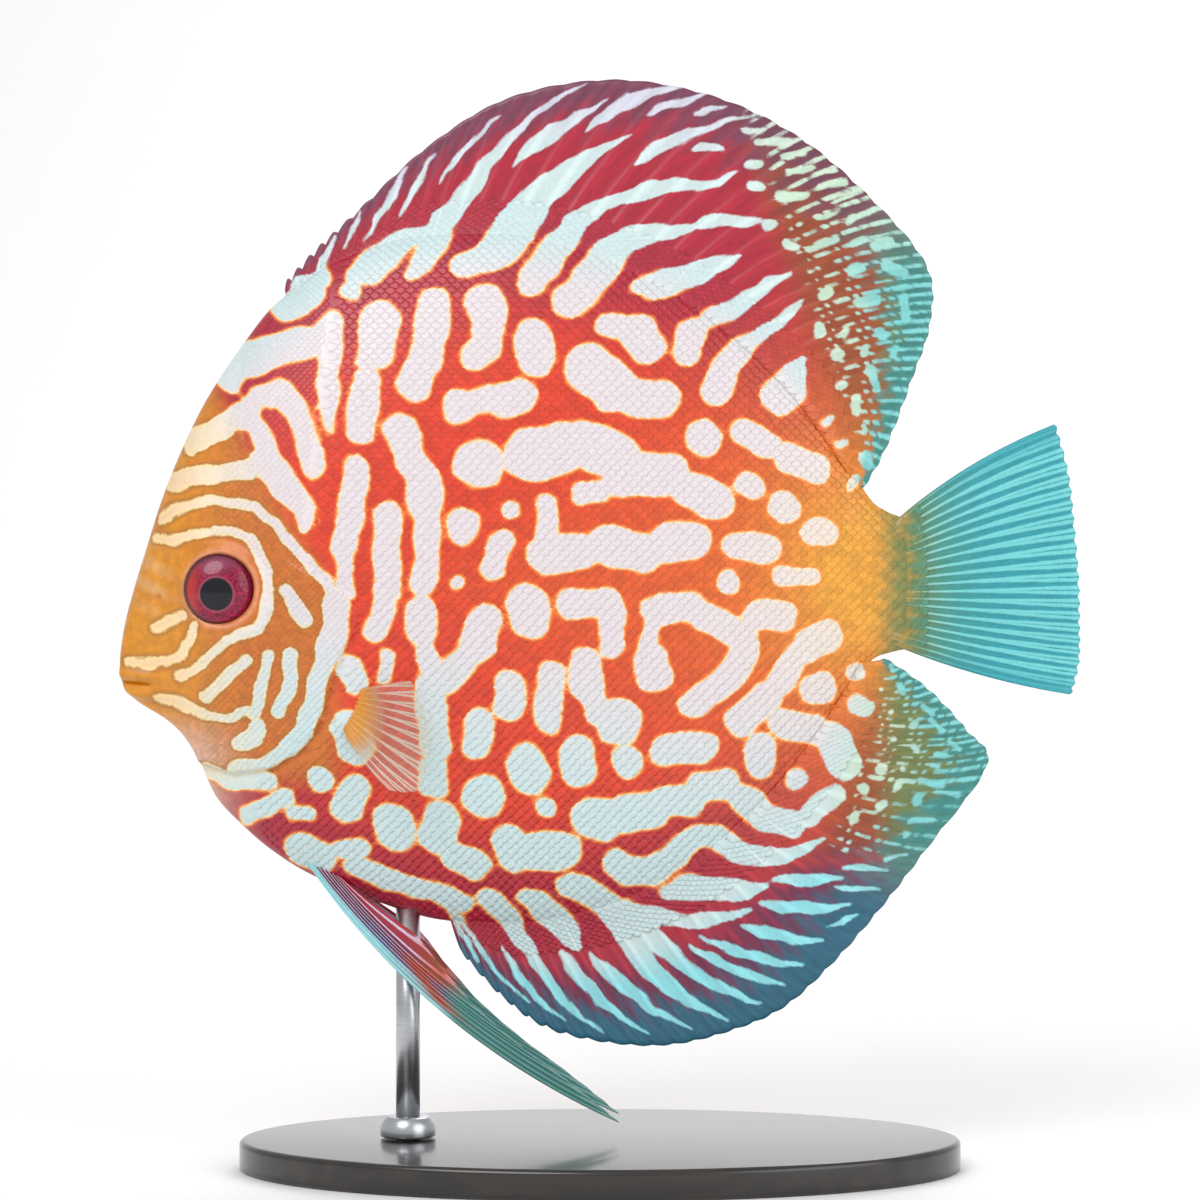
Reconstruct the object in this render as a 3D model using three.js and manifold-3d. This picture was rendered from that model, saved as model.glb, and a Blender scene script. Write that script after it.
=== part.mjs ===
// A life-size discus fish on a plain display stand.
// Millimetres, +Z up. The fish swims towards -X, and its left side faces -Y.
// The exported group's origin is the middle of the base's underside.
// The fish is drawn in a frame of its own: x runs back from the snout, z is the height above
// the body's long axis, and y is the distance from the mid plane.
import * as THREE from "three";
import { mergeVertices } from "three/addons/utils/BufferGeometryUtils.js";
import Module from "manifold-3d";

const wasm = await Module();
wasm.setup();

// Driving sizes
const TOTAL_LENGTH = 160; // snout to the tail fin's margin
const BODY_LENGTH = 131; // snout to the root of the tail fin
const HALF_WIDTH = 11.6; // half of the trunk's greatest width
const LENS_POWER = 0.62; // 0.5 gives an elliptic cross-section, 1 one with knife edges
const GAP = 0.3; // left between nodes that touch
const ROOT_DEPTH = 2.4; // how far a fin's sheet runs into the body before it is cut
const MEMBRANE = 0.28; // half of a fin's thickness at its margin
const RIDGE = 0.2; // how far a ray stands out of the membrane
const EYE = { x: 17.6, z: 1.8, radius: 5.7, bulge: 3, sunk: 1.2 };
const NOSTRIL = { x: 6.9, z: 0.4, radius: 0.75 };
const MOUTH = { z: -13.6, depth: 5.6, gape: 0.9, lip: 1.5 };
const BASE = { length: 120, width: 68, thickness: 5, bevel: 0.9 };
const TIP_CLEARANCE = 3; // between the hanging pelvic tips and the base
const PELVIC_DROP = 86.6; // from the body's axis down to those tips
const ROD = { x: 48, radius: 2, sides: 20 };
const COLLAR = { radius: 4.6, height: 3.4 };

// A smooth function through [x, value] knots that never overshoots them.
function profile(knots) {
  const n = knots.length - 1;
  const step = knots.slice(1).map(([x, v], i) => (v - knots[i][1]) / (x - knots[i][0]));
  const slope = knots.map((_, i) => {
    if (i === 0) return step[0];
    if (i === n) return step[n - 1];
    return step[i - 1] * step[i] > 0 ? (2 * step[i - 1] * step[i]) / (step[i - 1] + step[i]) : 0;
  });
  return (x) => {
    let i = 0;
    while (i < n - 1 && x > knots[i + 1][0]) i += 1;
    const width = knots[i + 1][0] - knots[i][0];
    const t = THREE.MathUtils.clamp((x - knots[i][0]) / width, 0, 1);
    return (
      knots[i][1] * (1 + 2 * t) * (1 - t) ** 2 +
      knots[i + 1][1] * t * t * (3 - 2 * t) +
      slope[i] * width * t * (1 - t) ** 2 -
      slope[i + 1] * width * t * t * (1 - t)
    );
  };
}

// The body without its fins: the line of the back, the line of the belly, and the share of
// HALF_WIDTH at each distance from the snout.
const back = profile([
  [0, -10.8], [0.15, -8.4], [0.8, -4.1], [1.8, 0], [4.3, 8.3], [6.9, 16.5], [10.2, 24.8],
  [14.2, 33], [19.6, 41.3], [25.9, 49.3], [37, 57], [50, 61.2], [63.5, 62], [77, 59.5],
  [90, 54], [103, 45], [113, 35], [120.5, 24.5], [126, 15.8], [BODY_LENGTH, 13.4],
]);
const belly = profile([
  [0, -10.8], [0.15, -12.8], [0.8, -14.7], [2.6, -16.6], [8.5, -20.5], [12.2, -24.8],
  [16.2, -33], [20, -37.1], [24.8, -41.3], [31, -45.3], [40, -49.2], [53.6, -53.3],
  [66.8, -54.5], [80, -52.5], [93, -47], [104.8, -38], [114.7, -26.4], [121.3, -16.5],
  [125.8, -9.6], [BODY_LENGTH, -8.1],
]);
const girth = profile([
  [0, 0], [0.15, 0.12], [0.8, 0.22], [3, 0.32], [6, 0.42], [10, 0.54], [16, 0.7], [24, 0.85],
  [34, 0.96], [46, 1], [60, 0.96], [75, 0.85], [90, 0.69], [103, 0.53], [115, 0.37],
  [125, 0.24], [BODY_LENGTH, 0.19],
]);

const bell = (distance, reach) => Math.exp(-((distance / reach) ** 2));

// Soft forms that stand out of the plain cross-section: the eye's rim, the lips and the cheek.
function relief(x, z) {
  const toEye = Math.hypot(x - EYE.x, z - EYE.z);
  const rim = 0.5 * bell(toEye - EYE.radius - 0.9, 1.2);
  const atLips = THREE.MathUtils.clamp((MOUTH.depth + 2 - x) / 3, 0, 1);
  const lips = 0.6 * (bell(z - MOUTH.z - MOUTH.lip, 1) + bell(z - MOUTH.z + MOUTH.lip, 1)) * atLips;
  const cheek = 0.5 * bell(Math.hypot(x - 23, z + 13), 8);
  return rim + lips + cheek;
}

// Half of the body's width at a place seen from the side.
function halfWidth(x, z) {
  const middle = (back(x) + belly(x)) / 2;
  const q = Math.min(1, Math.abs(z - middle) / Math.max(back(x) - middle, 1e-6));
  const lens = (1 - q * q) ** LENS_POWER;
  return HALF_WIDTH * girth(x) * lens + relief(x, z) * Math.min(1, 3 * lens) * Math.min(1, x);
}

// Closed surface of the whole body, as rings of points from the snout to the tail's root.
function bodyGeometry(stations, around) {
  const points = [[0, 0, back(0)]];
  const faces = [];
  const crowding = 1.6; // above 1 brings the rings together towards the snout
  for (let i = 1; i <= stations; i += 1) {
    const x = BODY_LENGTH * (i / stations) ** crowding;
    const middle = (back(x) + belly(x)) / 2;
    for (let j = 0; j < around; j += 1) {
      const angle = (2 * Math.PI * j) / around;
      const z = middle + (back(x) - middle) * Math.sin(angle);
      points.push([x, Math.sign(Math.cos(angle)) * halfWidth(x, z), z]);
    }
  }
  const ring = (i, j) => 1 + (i - 1) * around + (j % around);
  const end = points.push([BODY_LENGTH, 0, (back(BODY_LENGTH) + belly(BODY_LENGTH)) / 2]) - 1;
  for (let j = 0; j < around; j += 1) {
    faces.push(0, ring(1, j + 1), ring(1, j));
    faces.push(end, ring(stations, j), ring(stations, j + 1));
    for (let i = 1; i < stations; i += 1) {
      faces.push(ring(i, j), ring(i + 1, j + 1), ring(i + 1, j));
      faces.push(ring(i, j), ring(i, j + 1), ring(i + 1, j + 1));
    }
  }
  return meshGeometry(points, faces);
}

function meshGeometry(points, faces) {
  const geometry = new THREE.BufferGeometry();
  geometry.setAttribute("position", new THREE.Float32BufferAttribute(points.flat(), 3));
  geometry.setIndex(faces);
  return geometry;
}

// The same surface moved along its normals: outwards for a positive distance.
function moved(geometry, distance) {
  const copy = geometry.clone();
  copy.computeVertexNormals();
  const place = copy.attributes.position;
  const normal = copy.attributes.normal;
  for (let i = 0; i < place.count; i += 1) {
    place.setXYZ(
      i,
      place.getX(i) + distance * normal.getX(i),
      place.getY(i) + distance * normal.getY(i),
      place.getZ(i) + distance * normal.getZ(i),
    );
  }
  return copy;
}

// A closed three.js geometry as a solid that can be joined and cut.
function solidOf(geometry) {
  const bare = new THREE.BufferGeometry();
  const loose = geometry.index ? geometry.toNonIndexed() : geometry;
  bare.setAttribute("position", loose.getAttribute("position").clone());
  const merged = mergeVertices(bare, 1e-4);
  const triVerts = new Uint32Array(merged.index.array);
  const vertProperties = merged.attributes.position.array;
  return new wasm.Manifold(new wasm.Mesh({ numProp: 3, vertProperties, triVerts }));
}

function largest(solid) {
  const bodies = solid.decompose();
  return bodies.reduce((most, one) => (one.volume() > most.volume() ? one : most));
}

function geometryOf(solid) {
  const mesh = solid.getMesh();
  const geometry = new THREE.BufferGeometry();
  geometry.setAttribute("position", new THREE.BufferAttribute(mesh.vertProperties, 3));
  geometry.setIndex(new THREE.BufferAttribute(mesh.triVerts, 1));
  geometry.computeVertexNormals();
  return geometry;
}

// A side-view outline, [x, z] points, as a block that runs right through the fish.
function sideBlock(outline) {
  const shape = new THREE.Shape(outline.map(([x, z]) => new THREE.Vector2(x, z)));
  const depth = 6 * HALF_WIDTH;
  const block = new THREE.ExtrudeGeometry(shape, { depth, bevelEnabled: false, steps: 1 });
  block.rotateX(Math.PI / 2);
  block.translate(0, depth / 2, 0);
  return solidOf(block);
}

const smoothLine = (points, steps) =>
  new THREE.SplineCurve(points.map(([x, z]) => new THREE.Vector2(x, z)))
    .getPoints(steps)
    .map((p) => [p.x, p.y]);

// A line seen from the side, widened into a thin cut.
function thinCut(line) {
  const offset = (side) =>
    line.map(([x, z], i) => {
      const before = line[Math.max(i - 1, 0)];
      const after = line[Math.min(i + 1, line.length - 1)];
      const length = Math.hypot(after[0] - before[0], after[1] - before[1]);
      const reach = (side * GAP) / 2 / length;
      return [x - (after[1] - before[1]) * reach, z + (after[0] - before[0]) * reach];
    });
  return sideBlock([...offset(1), ...offset(-1).reverse()]);
}

function ellipsoid(x, y, z, [rx, ry, rz], segments = 20, rings = 10) {
  const ball = new THREE.SphereGeometry(1, segments, rings);
  ball.scale(rx, ry, rz);
  ball.translate(x, y, z);
  return solidOf(ball);
}

// A place on a fin seen from the side: s runs from 0, the first ray, to 1, the last, and t
// from 0 at the ray's root to 1 at its tip. bow bends the rays.
function onFin({ rootAt, tipAt, bow }, s, t) {
  const root = rootAt(s);
  const tip = tipAt(s);
  const across = new THREE.Vector2(root.y - tip.y, tip.x - root.x);
  return root.lerp(tip, t).addScaledVector(across, bow(s) * 4 * t * (1 - t));
}

// A fin as a closed sheet of rays and membrane. lateral is the sheet's distance from the mid
// plane, half its half thickness between the rays, and notch how far the margin is drawn in
// between two rays.
function finGeometry(fin) {
  const { rays, rows, rootAt, tipAt, lateral, half, notch } = fin;
  const columns = 2 * rays + 1;
  const points = [];
  for (const side of [1, -1]) {
    for (let i = 0; i < columns; i += 1) {
      const s = i / (columns - 1);
      const onRay = i % 2;
      const reach = onRay ? 1 : 1 - Math.min(0.3, notch(s) / rootAt(s).distanceTo(tipAt(s)));
      for (let j = 0; j <= rows; j += 1) {
        const t = (j / rows) * reach;
        const { x, y: z } = onFin(fin, s, t);
        const thick = half(s, t) + onRay * RIDGE * (1 - 0.75 * t ** 3);
        points.push([x, lateral(s, t) + side * thick, z]);
      }
    }
  }
  const at = (side, i, j) => (side * columns + i) * (rows + 1) + j;
  const faces = [];
  const quad = (a, b, c, d) => faces.push(a, b, c, a, c, d);
  for (let i = 0; i < columns - 1; i += 1) {
    for (let j = 0; j < rows; j += 1) {
      quad(at(0, i, j), at(0, i, j + 1), at(0, i + 1, j + 1), at(0, i + 1, j));
      const [a, b, c, d] = [at(1, i, j), at(1, i, j + 1), at(1, i + 1, j + 1), at(1, i + 1, j)];
      faces.push(a, c, b, a, d, c);
    }
    quad(at(0, i, 0), at(0, i + 1, 0), at(1, i + 1, 0), at(1, i, 0));
    quad(at(0, i, rows), at(1, i, rows), at(1, i + 1, rows), at(0, i + 1, rows));
  }
  for (let j = 0; j < rows; j += 1) {
    const last = columns - 1;
    quad(at(0, 0, j), at(1, 0, j), at(1, 0, j + 1), at(0, 0, j + 1));
    quad(at(0, last, j), at(0, last, j + 1), at(1, last, j + 1), at(1, last, j));
  }
  return meshGeometry(points, faces);
}

// A fin's solid, whichever way its rays run, cut clear of the body that it grows from.
function finSolid(fin) {
  const geometry = finGeometry(fin);
  let solid = solidOf(geometry);
  if (solid.volume() < 0) {
    const index = geometry.index.array;
    for (let i = 0; i < index.length; i += 3) [index[i], index[i + 1]] = [index[i + 1], index[i]];
    solid = solidOf(geometry);
  }
  return largest(solid.subtract(clearOfBody));
}

// The front and rear parts of a fin, parted between two of its rays.
function finHalves(fin, parting) {
  const steps = [-0.1, 0, 0.2, 0.4, 0.6, 0.8, 1, 1.1];
  const line = steps.map((t) => onFin(fin, parting, t)).map((p) => [p.x, p.y]);
  return finSolid(fin)
    .subtract(thinCut(line))
    .decompose()
    .sort((a, b) => b.volume() - a.volume())
    .slice(0, 2)
    .sort((a, b) => a.boundingBox().min[0] - b.boundingBox().min[0]);
}

// A smooth line through [x, z] places, one for each named ray, as a function of s.
function alongRays(places) {
  const curve = new THREE.SplineCurve(places.map(([x, z]) => new THREE.Vector2(x, z)));
  return (s) => curve.getPoint(s);
}

// The body, then its parts by thin cuts
const wholeGeometry = bodyGeometry(44, 36);
const whole = solidOf(wholeGeometry);
const clearOfBody = solidOf(moved(wholeGeometry, GAP));

// Head and trunk part along the back edge of the gill cover.
const gillLine = smoothLine(
  [
    [27, 62], [30.5, 46], [33.5, 25], [36, 10], [39, 2.4], [41.6, -2.2], [40.6, -7],
    [37.6, -13.4], [34.8, -21], [31, -26], [25, -29.4], [18.6, -33], [10, -40],
  ],
  40,
);
const tailLine = [[121.5, 40], [121.5, -30]];
const [head, trunk, tailRoot] = whole
  .subtract(thinCut(gillLine))
  .subtract(thinCut(tailLine))
  .decompose()
  .filter((piece) => piece.volume() > 100)
  .sort((a, b) => a.boundingBox().min[0] - b.boundingBox().min[0]);

// Gill covers: a plate on each cheek that stands a little proud of the head.
const COVER = { proud: 0.5, depth: 1.3 };
const coverOutline = smoothLine(
  [
    [47, -8], [45, 2], [39, 5.4], [33, 2], [30.2, -5], [28.6, -13], [25.6, -20.5], [21, -26],
    [20, -31], [27, -33], [38, -27], [45, -17], [47, -8],
  ],
  48,
).slice(0, -1);
const coverBlock = sideBlock(coverOutline);
const coverSeat = sideBlock(coverOutline.map(([x, z]) => [x - GAP, z + GAP * Math.sign(z + 12) * 0.5]));
const headSide = sideBlock([...gillLine.map(([x, z]) => [x - GAP / 2, z]), [-9, -60], [-9, 70]]);
const covers = solidOf(moved(wholeGeometry, COVER.proud))
  .intersect(coverBlock)
  .intersect(headSide)
  .subtract(solidOf(moved(wholeGeometry, -COVER.depth)));
const coverOn = (side) =>
  covers.decompose().reduce((best, piece) => {
    const { min, max } = piece.boundingBox();
    const outward = (side * (min[1] + max[1])) / 2;
    return outward > 3 && piece.volume() > (best ? best.volume() : 0) ? piece : best;
  }, null);
const coverRecess = coverBlock.add(coverSeat).subtract(solidOf(moved(wholeGeometry, -COVER.depth - GAP)));

const eyeOn = (side, grow = 0) => {
  const y = side * (halfWidth(EYE.x, EYE.z) - EYE.sunk);
  const size = [EYE.radius + 0.4 + grow, EYE.bulge + grow, EYE.radius + 0.4 + grow];
  return ellipsoid(EYE.x, y, EYE.z, size);
};
const nostrilOn = (side) => {
  const y = side * (halfWidth(NOSTRIL.x, NOSTRIL.z) + 0.2);
  return ellipsoid(NOSTRIL.x, y, NOSTRIL.z, [NOSTRIL.radius, 1, NOSTRIL.radius], 12, 6);
};
const mouthSlot = sideBlock([
  [-2, MOUTH.z + MOUTH.gape], [MOUTH.depth, MOUTH.z - 0.5], [-2, MOUTH.z - MOUTH.gape],
]);
const carvedHead = [eyeOn(-1, GAP), eyeOn(1, GAP), nostrilOn(-1), nostrilOn(1), mouthSlot, coverRecess]
  .reduce((shape, tool) => shape.subtract(tool), head);

// Unpaired fins. A root is a distance along the body, set on the line of the back or belly,
// and a tip is a place on the fin's margin.
const dorsalRays = [
  [28, 27.4, 53], [32.5, 32.6, 58.6], [38, 39.6, 65], [45.5, 51.5, 75.8], [54.5, 65, 83.8],
  [64.5, 82, 86.8], [75, 98.5, 84.2], [85, 112.6, 77.6], [94, 124.6, 67.6], [101.5, 134.4, 56],
  [108, 135.2, 46.5], [113.5, 132, 36.5], [118, 127.4, 24.5], [121, 122.6, 16.4],
];
const analRays = [
  [54.5, 57, -59], [58, 63.6, -66.2], [63, 71, -71.4], [69, 81, -73.8], [76, 91.4, -74.2],
  [83.5, 101.4, -72], [91, 110.6, -68], [97.5, 119, -60.4], [103.5, 127, -51.2],
  [109, 134.6, -41.4], [114, 144.6, -27.6], [118, 141.2, -21.6], [121, 134.6, -14.6],
  [123.6, 127.6, -9.6],
];
const spread = (s, first, last) => first + (last - first) * s;
const spiny = (s) => (s < 0.3 ? 1.3 : 0.35);
const thinning = (atRoot) => (s, t) => MEMBRANE + (atRoot - MEMBRANE) * (1 - t) ** 1.5;

const dorsalFin = {
  rays: 34,
  rows: 5,
  rootAt: alongRays(dorsalRays.map(([x]) => [x, back(x) - ROOT_DEPTH])),
  tipAt: alongRays(dorsalRays.map(([, x, z]) => [x, z])),
  bow: (s) => spread(s, 0.02, 0.09),
  lateral: () => 0,
  half: thinning(0.9),
  notch: spiny,
};
const analFin = {
  rays: 32,
  rows: 5,
  rootAt: alongRays(analRays.map(([x]) => [x, belly(x) + ROOT_DEPTH])),
  tipAt: alongRays(analRays.map(([, x, z]) => [x, z])),
  bow: (s) => -spread(s, 0.02, 0.09),
  lateral: () => 0,
  half: thinning(0.9),
  notch: spiny,
};
const [dorsalFront, dorsalRear] = finHalves(dorsalFin, 18 / dorsalFin.rays);
const [analFront, analRear] = finHalves(analFin, 16 / analFin.rays);

const tailTop = back(BODY_LENGTH);
const tailFoot = belly(BODY_LENGTH);
const tailFin = finSolid({
  rays: 16,
  rows: 7,
  rootAt: (s) => new THREE.Vector2(BODY_LENGTH - ROOT_DEPTH, spread(s, tailTop - 0.7, tailFoot + 0.7)),
  tipAt: alongRays([
    [156, 29.4], [158, 22], [159, 14], [159.8, 5], [160, -3], [160, -10], [158.6, -15.8],
  ]),
  bow: (s) => spread(s, 0.045, -0.03),
  lateral: () => 0,
  half: (s, t) => MEMBRANE + 1.5 * Math.sqrt(4 * s * (1 - s)) * (1 - t) ** 3,
  notch: () => 0.5,
});

// Paired fins. side is -1 for the left of the fish and 1 for the right.
const PECTORAL = { root: [[39.4, -15], [37.6, -20.8]], sunk: 1.6, flare: 7.5 };
const pectoralFin = (side) => {
  const [upper, lower] = PECTORAL.root;
  const y = halfWidth(upper[0], (upper[1] + lower[1]) / 2) - PECTORAL.sunk;
  return finSolid({
    rays: 10,
    rows: 5,
    rootAt: (s) => new THREE.Vector2(...upper).lerp(new THREE.Vector2(...lower), s),
    tipAt: alongRays([[49.4, -13], [51.8, -18.4], [52.6, -24], [50.8, -30.6], [46, -31]]),
    bow: (s) => spread(s, 0.03, -0.05),
    lateral: (s, t) => side * (y + PECTORAL.flare * t ** 0.8 + 0.8 * Math.sin(Math.PI * s) * t),
    half: thinning(0.6),
    notch: () => 0.4,
  });
};

const PELVIC = { root: [[31.2, -43.4], [37, -46]], keel: 1.5, splay: 5 };
const pelvicFin = (side) => {
  const [first, last] = PELVIC.root;
  return finSolid({
    rays: 6,
    rows: 12,
    rootAt: (s) => new THREE.Vector2(...first).lerp(new THREE.Vector2(...last), s),
    tipAt: alongRays([
      [83.6, -PELVIC_DROP], [73.4, -78], [65, -71], [58, -65.6], [52, -60], [48.6, -54.2],
    ]),
    bow: (s) => spread(s, -0.07, -0.02),
    lateral: (s, t) => side * (PELVIC.keel + PELVIC.splay * t ** 0.55),
    half: thinning(0.7),
    notch: () => 0.6,
  });
};

// Stand: an oval base, a collar and one rod that ends in a saddle under the belly.
const axisHeight = BASE.thickness + TIP_CLEARANCE + PELVIC_DROP;
const fishPlace = new THREE.Vector3(-TOTAL_LENGTH / 2, 0, axisHeight);

function baseGeometry() {
  const oval = new THREE.Shape();
  oval.absellipse(0, 0, BASE.length / 2 - BASE.bevel, BASE.width / 2 - BASE.bevel, 0, 2 * Math.PI);
  const plate = new THREE.ExtrudeGeometry(oval, {
    depth: BASE.thickness - 2 * BASE.bevel,
    bevelThickness: BASE.bevel,
    bevelSize: BASE.bevel,
    bevelSegments: 2,
    curveSegments: 15,
    steps: 1,
  });
  return plate.translate(0, 0, BASE.bevel);
}

const rodX = fishPlace.x + ROD.x;
const rodFoot = BASE.thickness + GAP;
const bellyHeight = axisHeight + belly(ROD.x);
const rodTop = bellyHeight + 3;
const rodBar = new THREE.CylinderGeometry(ROD.radius, ROD.radius, rodTop - rodFoot, ROD.sides)
  .rotateX(Math.PI / 2)
  .translate(rodX, 0, (rodTop + rodFoot) / 2);
const rod = largest(
  solidOf(rodBar).subtract(clearOfBody.translate([fishPlace.x, fishPlace.y, fishPlace.z])),
);
const collarProfile = [
  [ROD.radius + GAP, 0], [COLLAR.radius, 0], [COLLAR.radius, COLLAR.height * 0.6],
  [COLLAR.radius - 0.9, COLLAR.height], [ROD.radius + GAP, COLLAR.height], [ROD.radius + GAP, 0],
].map(([r, z]) => new THREE.Vector2(r, z));
const collar = new THREE.LatheGeometry(collarProfile, 24)
  .rotateX(Math.PI / 2)
  .translate(rodX, 0, rodFoot);

// Materials
const finish = (color, roughness, metalness = 0) =>
  new THREE.MeshStandardMaterial({ color, roughness, metalness });
const skinOrange = finish(0xe58a5a, 0.4);
const skinRed = finish(0xd9584a, 0.4);
const skinAmber = finish(0xe6a53c, 0.4);
const finCrimson = finish(0xb04a5c, 0.4);
const finTurquoise = finish(0x3fa9b4, 0.4);
const finClear = finish(0xd8c8a8, 0.35);
const eyeRed = finish(0x7a1238, 0.08);
const standBlack = finish(0x1c1c1e, 0.35);
const standSteel = finish(0xb9bcc0, 0.25, 1);

// The scene graph
const part = new THREE.Group();
const fish = new THREE.Group();
fish.position.copy(fishPlace);
part.add(fish);

function place(group, name, shape, material) {
  const geometry = shape.isBufferGeometry ? shape : geometryOf(shape);
  const mesh = new THREE.Mesh(geometry, material);
  mesh.name = name;
  group.add(mesh);
}

place(fish, "head", largest(carvedHead), skinOrange);
place(fish, "trunk", trunk, skinRed);
place(fish, "tail_root", tailRoot, skinAmber);
place(fish, "dorsal_fin_front", dorsalFront, finCrimson);
place(fish, "dorsal_fin_rear", dorsalRear, finCrimson);
place(fish, "anal_fin_front", analFront, finCrimson);
place(fish, "anal_fin_rear", analRear, finCrimson);
place(fish, "tail_fin", tailFin, finTurquoise);
for (const [name, side] of [["left", -1], ["right", 1]]) {
  place(fish, `eye_${name}`, eyeOn(side), eyeRed);
  place(fish, `gill_cover_${name}`, coverOn(side), skinOrange);
  place(fish, `pectoral_fin_${name}`, pectoralFin(side), finClear);
  place(fish, `pelvic_fin_${name}`, pelvicFin(side), finCrimson);
}
place(part, "stand_base", baseGeometry(), standBlack);
place(part, "stand_collar", collar, standSteel);
place(part, "stand_rod", rod, standSteel);

export default part;
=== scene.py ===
# %% [markdown]
# # A discus fish on a display stand
# A discus is a tall, thin disc of a fish. This lesson dresses a measured model of one: a single
# skin with its markings, a coat of small scales, rayed fins, wet eyes, and a plain stand.
# The first cell loads the measured model. Everything after it takes its place from there.

# %% Load the measured model
import math

import bpy
import numpy as np
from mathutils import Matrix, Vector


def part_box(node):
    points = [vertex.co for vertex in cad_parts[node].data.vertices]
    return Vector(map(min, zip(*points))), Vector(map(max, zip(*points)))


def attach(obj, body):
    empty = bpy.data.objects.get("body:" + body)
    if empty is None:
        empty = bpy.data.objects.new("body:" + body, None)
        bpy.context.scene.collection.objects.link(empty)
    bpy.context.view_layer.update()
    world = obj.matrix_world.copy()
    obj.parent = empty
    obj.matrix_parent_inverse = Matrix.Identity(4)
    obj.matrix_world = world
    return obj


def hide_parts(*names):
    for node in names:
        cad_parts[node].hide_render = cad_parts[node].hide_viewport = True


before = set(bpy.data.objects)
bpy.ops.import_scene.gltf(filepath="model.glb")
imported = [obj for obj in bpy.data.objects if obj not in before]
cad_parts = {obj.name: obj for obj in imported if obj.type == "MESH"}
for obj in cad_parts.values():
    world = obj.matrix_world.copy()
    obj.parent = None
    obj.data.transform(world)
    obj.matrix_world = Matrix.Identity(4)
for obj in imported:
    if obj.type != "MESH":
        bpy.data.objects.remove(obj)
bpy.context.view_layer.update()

# %% [markdown]
# ## One set of axes for the fish
# The fish is easiest to draw in millimetres on axes of its own: x runs back from the snout, z
# up from the body's long axis, and y sideways. The left side, which faces the camera, is -y.
# The photograph is a straight side view, so a place on it is also a place on these axes.

# %% Axes and units
MM = 0.001


def node_box(node):
    return [np.array(corner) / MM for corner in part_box(node)]


EYE_ABOVE_AXIS = 1.8
head_low, head_high = node_box("head")
eye_low, eye_high = node_box("eye_left")
snout_x = head_low[0]
axis_z = (eye_low[2] + eye_high[2]) / 2 - EYE_ABOVE_AXIS
EYE_X = (eye_low[0] + eye_high[0]) / 2 - snout_x
TOTAL_LENGTH = 160.0
BODY_LENGTH = 131.0
SIDES = (("left", -1), ("right", 1))
detail = 1.0


def to_world(points):
    return (np.asarray(points, float) + [snout_x, 0, axis_z]) * MM


PHOTO_SNOUT_PX = 115
PHOTO_AXIS_PX = 600
PHOTO_LENGTH_PX = 970
MM_PER_PX = TOTAL_LENGTH / PHOTO_LENGTH_PX


def from_photo(px):
    px = np.asarray(px, float)
    return np.stack([px[..., 0] - PHOTO_SNOUT_PX, PHOTO_AXIS_PX - px[..., 1]], -1) * MM_PER_PX


print(f"snout at {snout_x:.1f} mm, body axis {axis_z:.1f} mm up, one pixel is {MM_PER_PX:.3f} mm")

# %% [markdown]
# ## The camera
# The photograph looks straight at the fish's left side from far off, so a long lens a little over
# half a metre away gives the same flat view. The frame's middle is at the height of pixel 600.

# %% Camera
FRAME_PX = 1200
SENSOR_MM = 36.0
LENS_MM = 105.0
frame_width = FRAME_PX * MM_PER_PX * MM
near_side = 0.006
camera_distance = frame_width * LENS_MM / SENSOR_MM + near_side
middle_x = (snout_x + (FRAME_PX / 2 - PHOTO_SNOUT_PX) * MM_PER_PX) * MM

camera_data = bpy.data.cameras.new("camera")
camera_data.lens = LENS_MM
camera_data.sensor_width = SENSOR_MM
camera = bpy.data.objects.new("camera", camera_data)
camera.location = (middle_x, -camera_distance, axis_z * MM)
camera.rotation_euler = (math.pi / 2, 0, 0)
bpy.context.collection.objects.link(camera)
bpy.context.scene.camera = camera
print(f"camera {camera_distance:.3f} m away, the frame is {frame_width:.3f} m wide at the fish")

# %% [markdown]
# ## Smooth profiles
# The body's back, belly and width are each a smooth line through a few measured places. A line
# that never overshoots its places keeps the outline clean, so each profile is a cubic whose
# slopes are the harmonic means of the steps beside it.


# %% A smooth line through a few places
def profile(knots):
    xs, vs = np.array(knots, float).T
    step = np.diff(vs) / np.diff(xs)
    before, after = step[:-1], step[1:]
    slope = np.r_[step[0], np.zeros(len(step) - 1), step[-1]]
    same_way = before * after > 0
    slope[1:-1][same_way] = 2 * (before * after)[same_way] / (before + after)[same_way]

    def at(x):
        i = np.clip(np.searchsorted(xs, x, side="right") - 1, 0, len(xs) - 2)
        width = xs[i + 1] - xs[i]
        t = np.clip((x - xs[i]) / width, 0, 1)
        values = vs[i] * (1 + 2 * t) * (1 - t) ** 2 + vs[i + 1] * t * t * (3 - 2 * t)
        slopes = slope[i] * t * (1 - t) ** 2 - slope[i + 1] * t * t * (1 - t)
        return values + width * slopes

    return at


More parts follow.
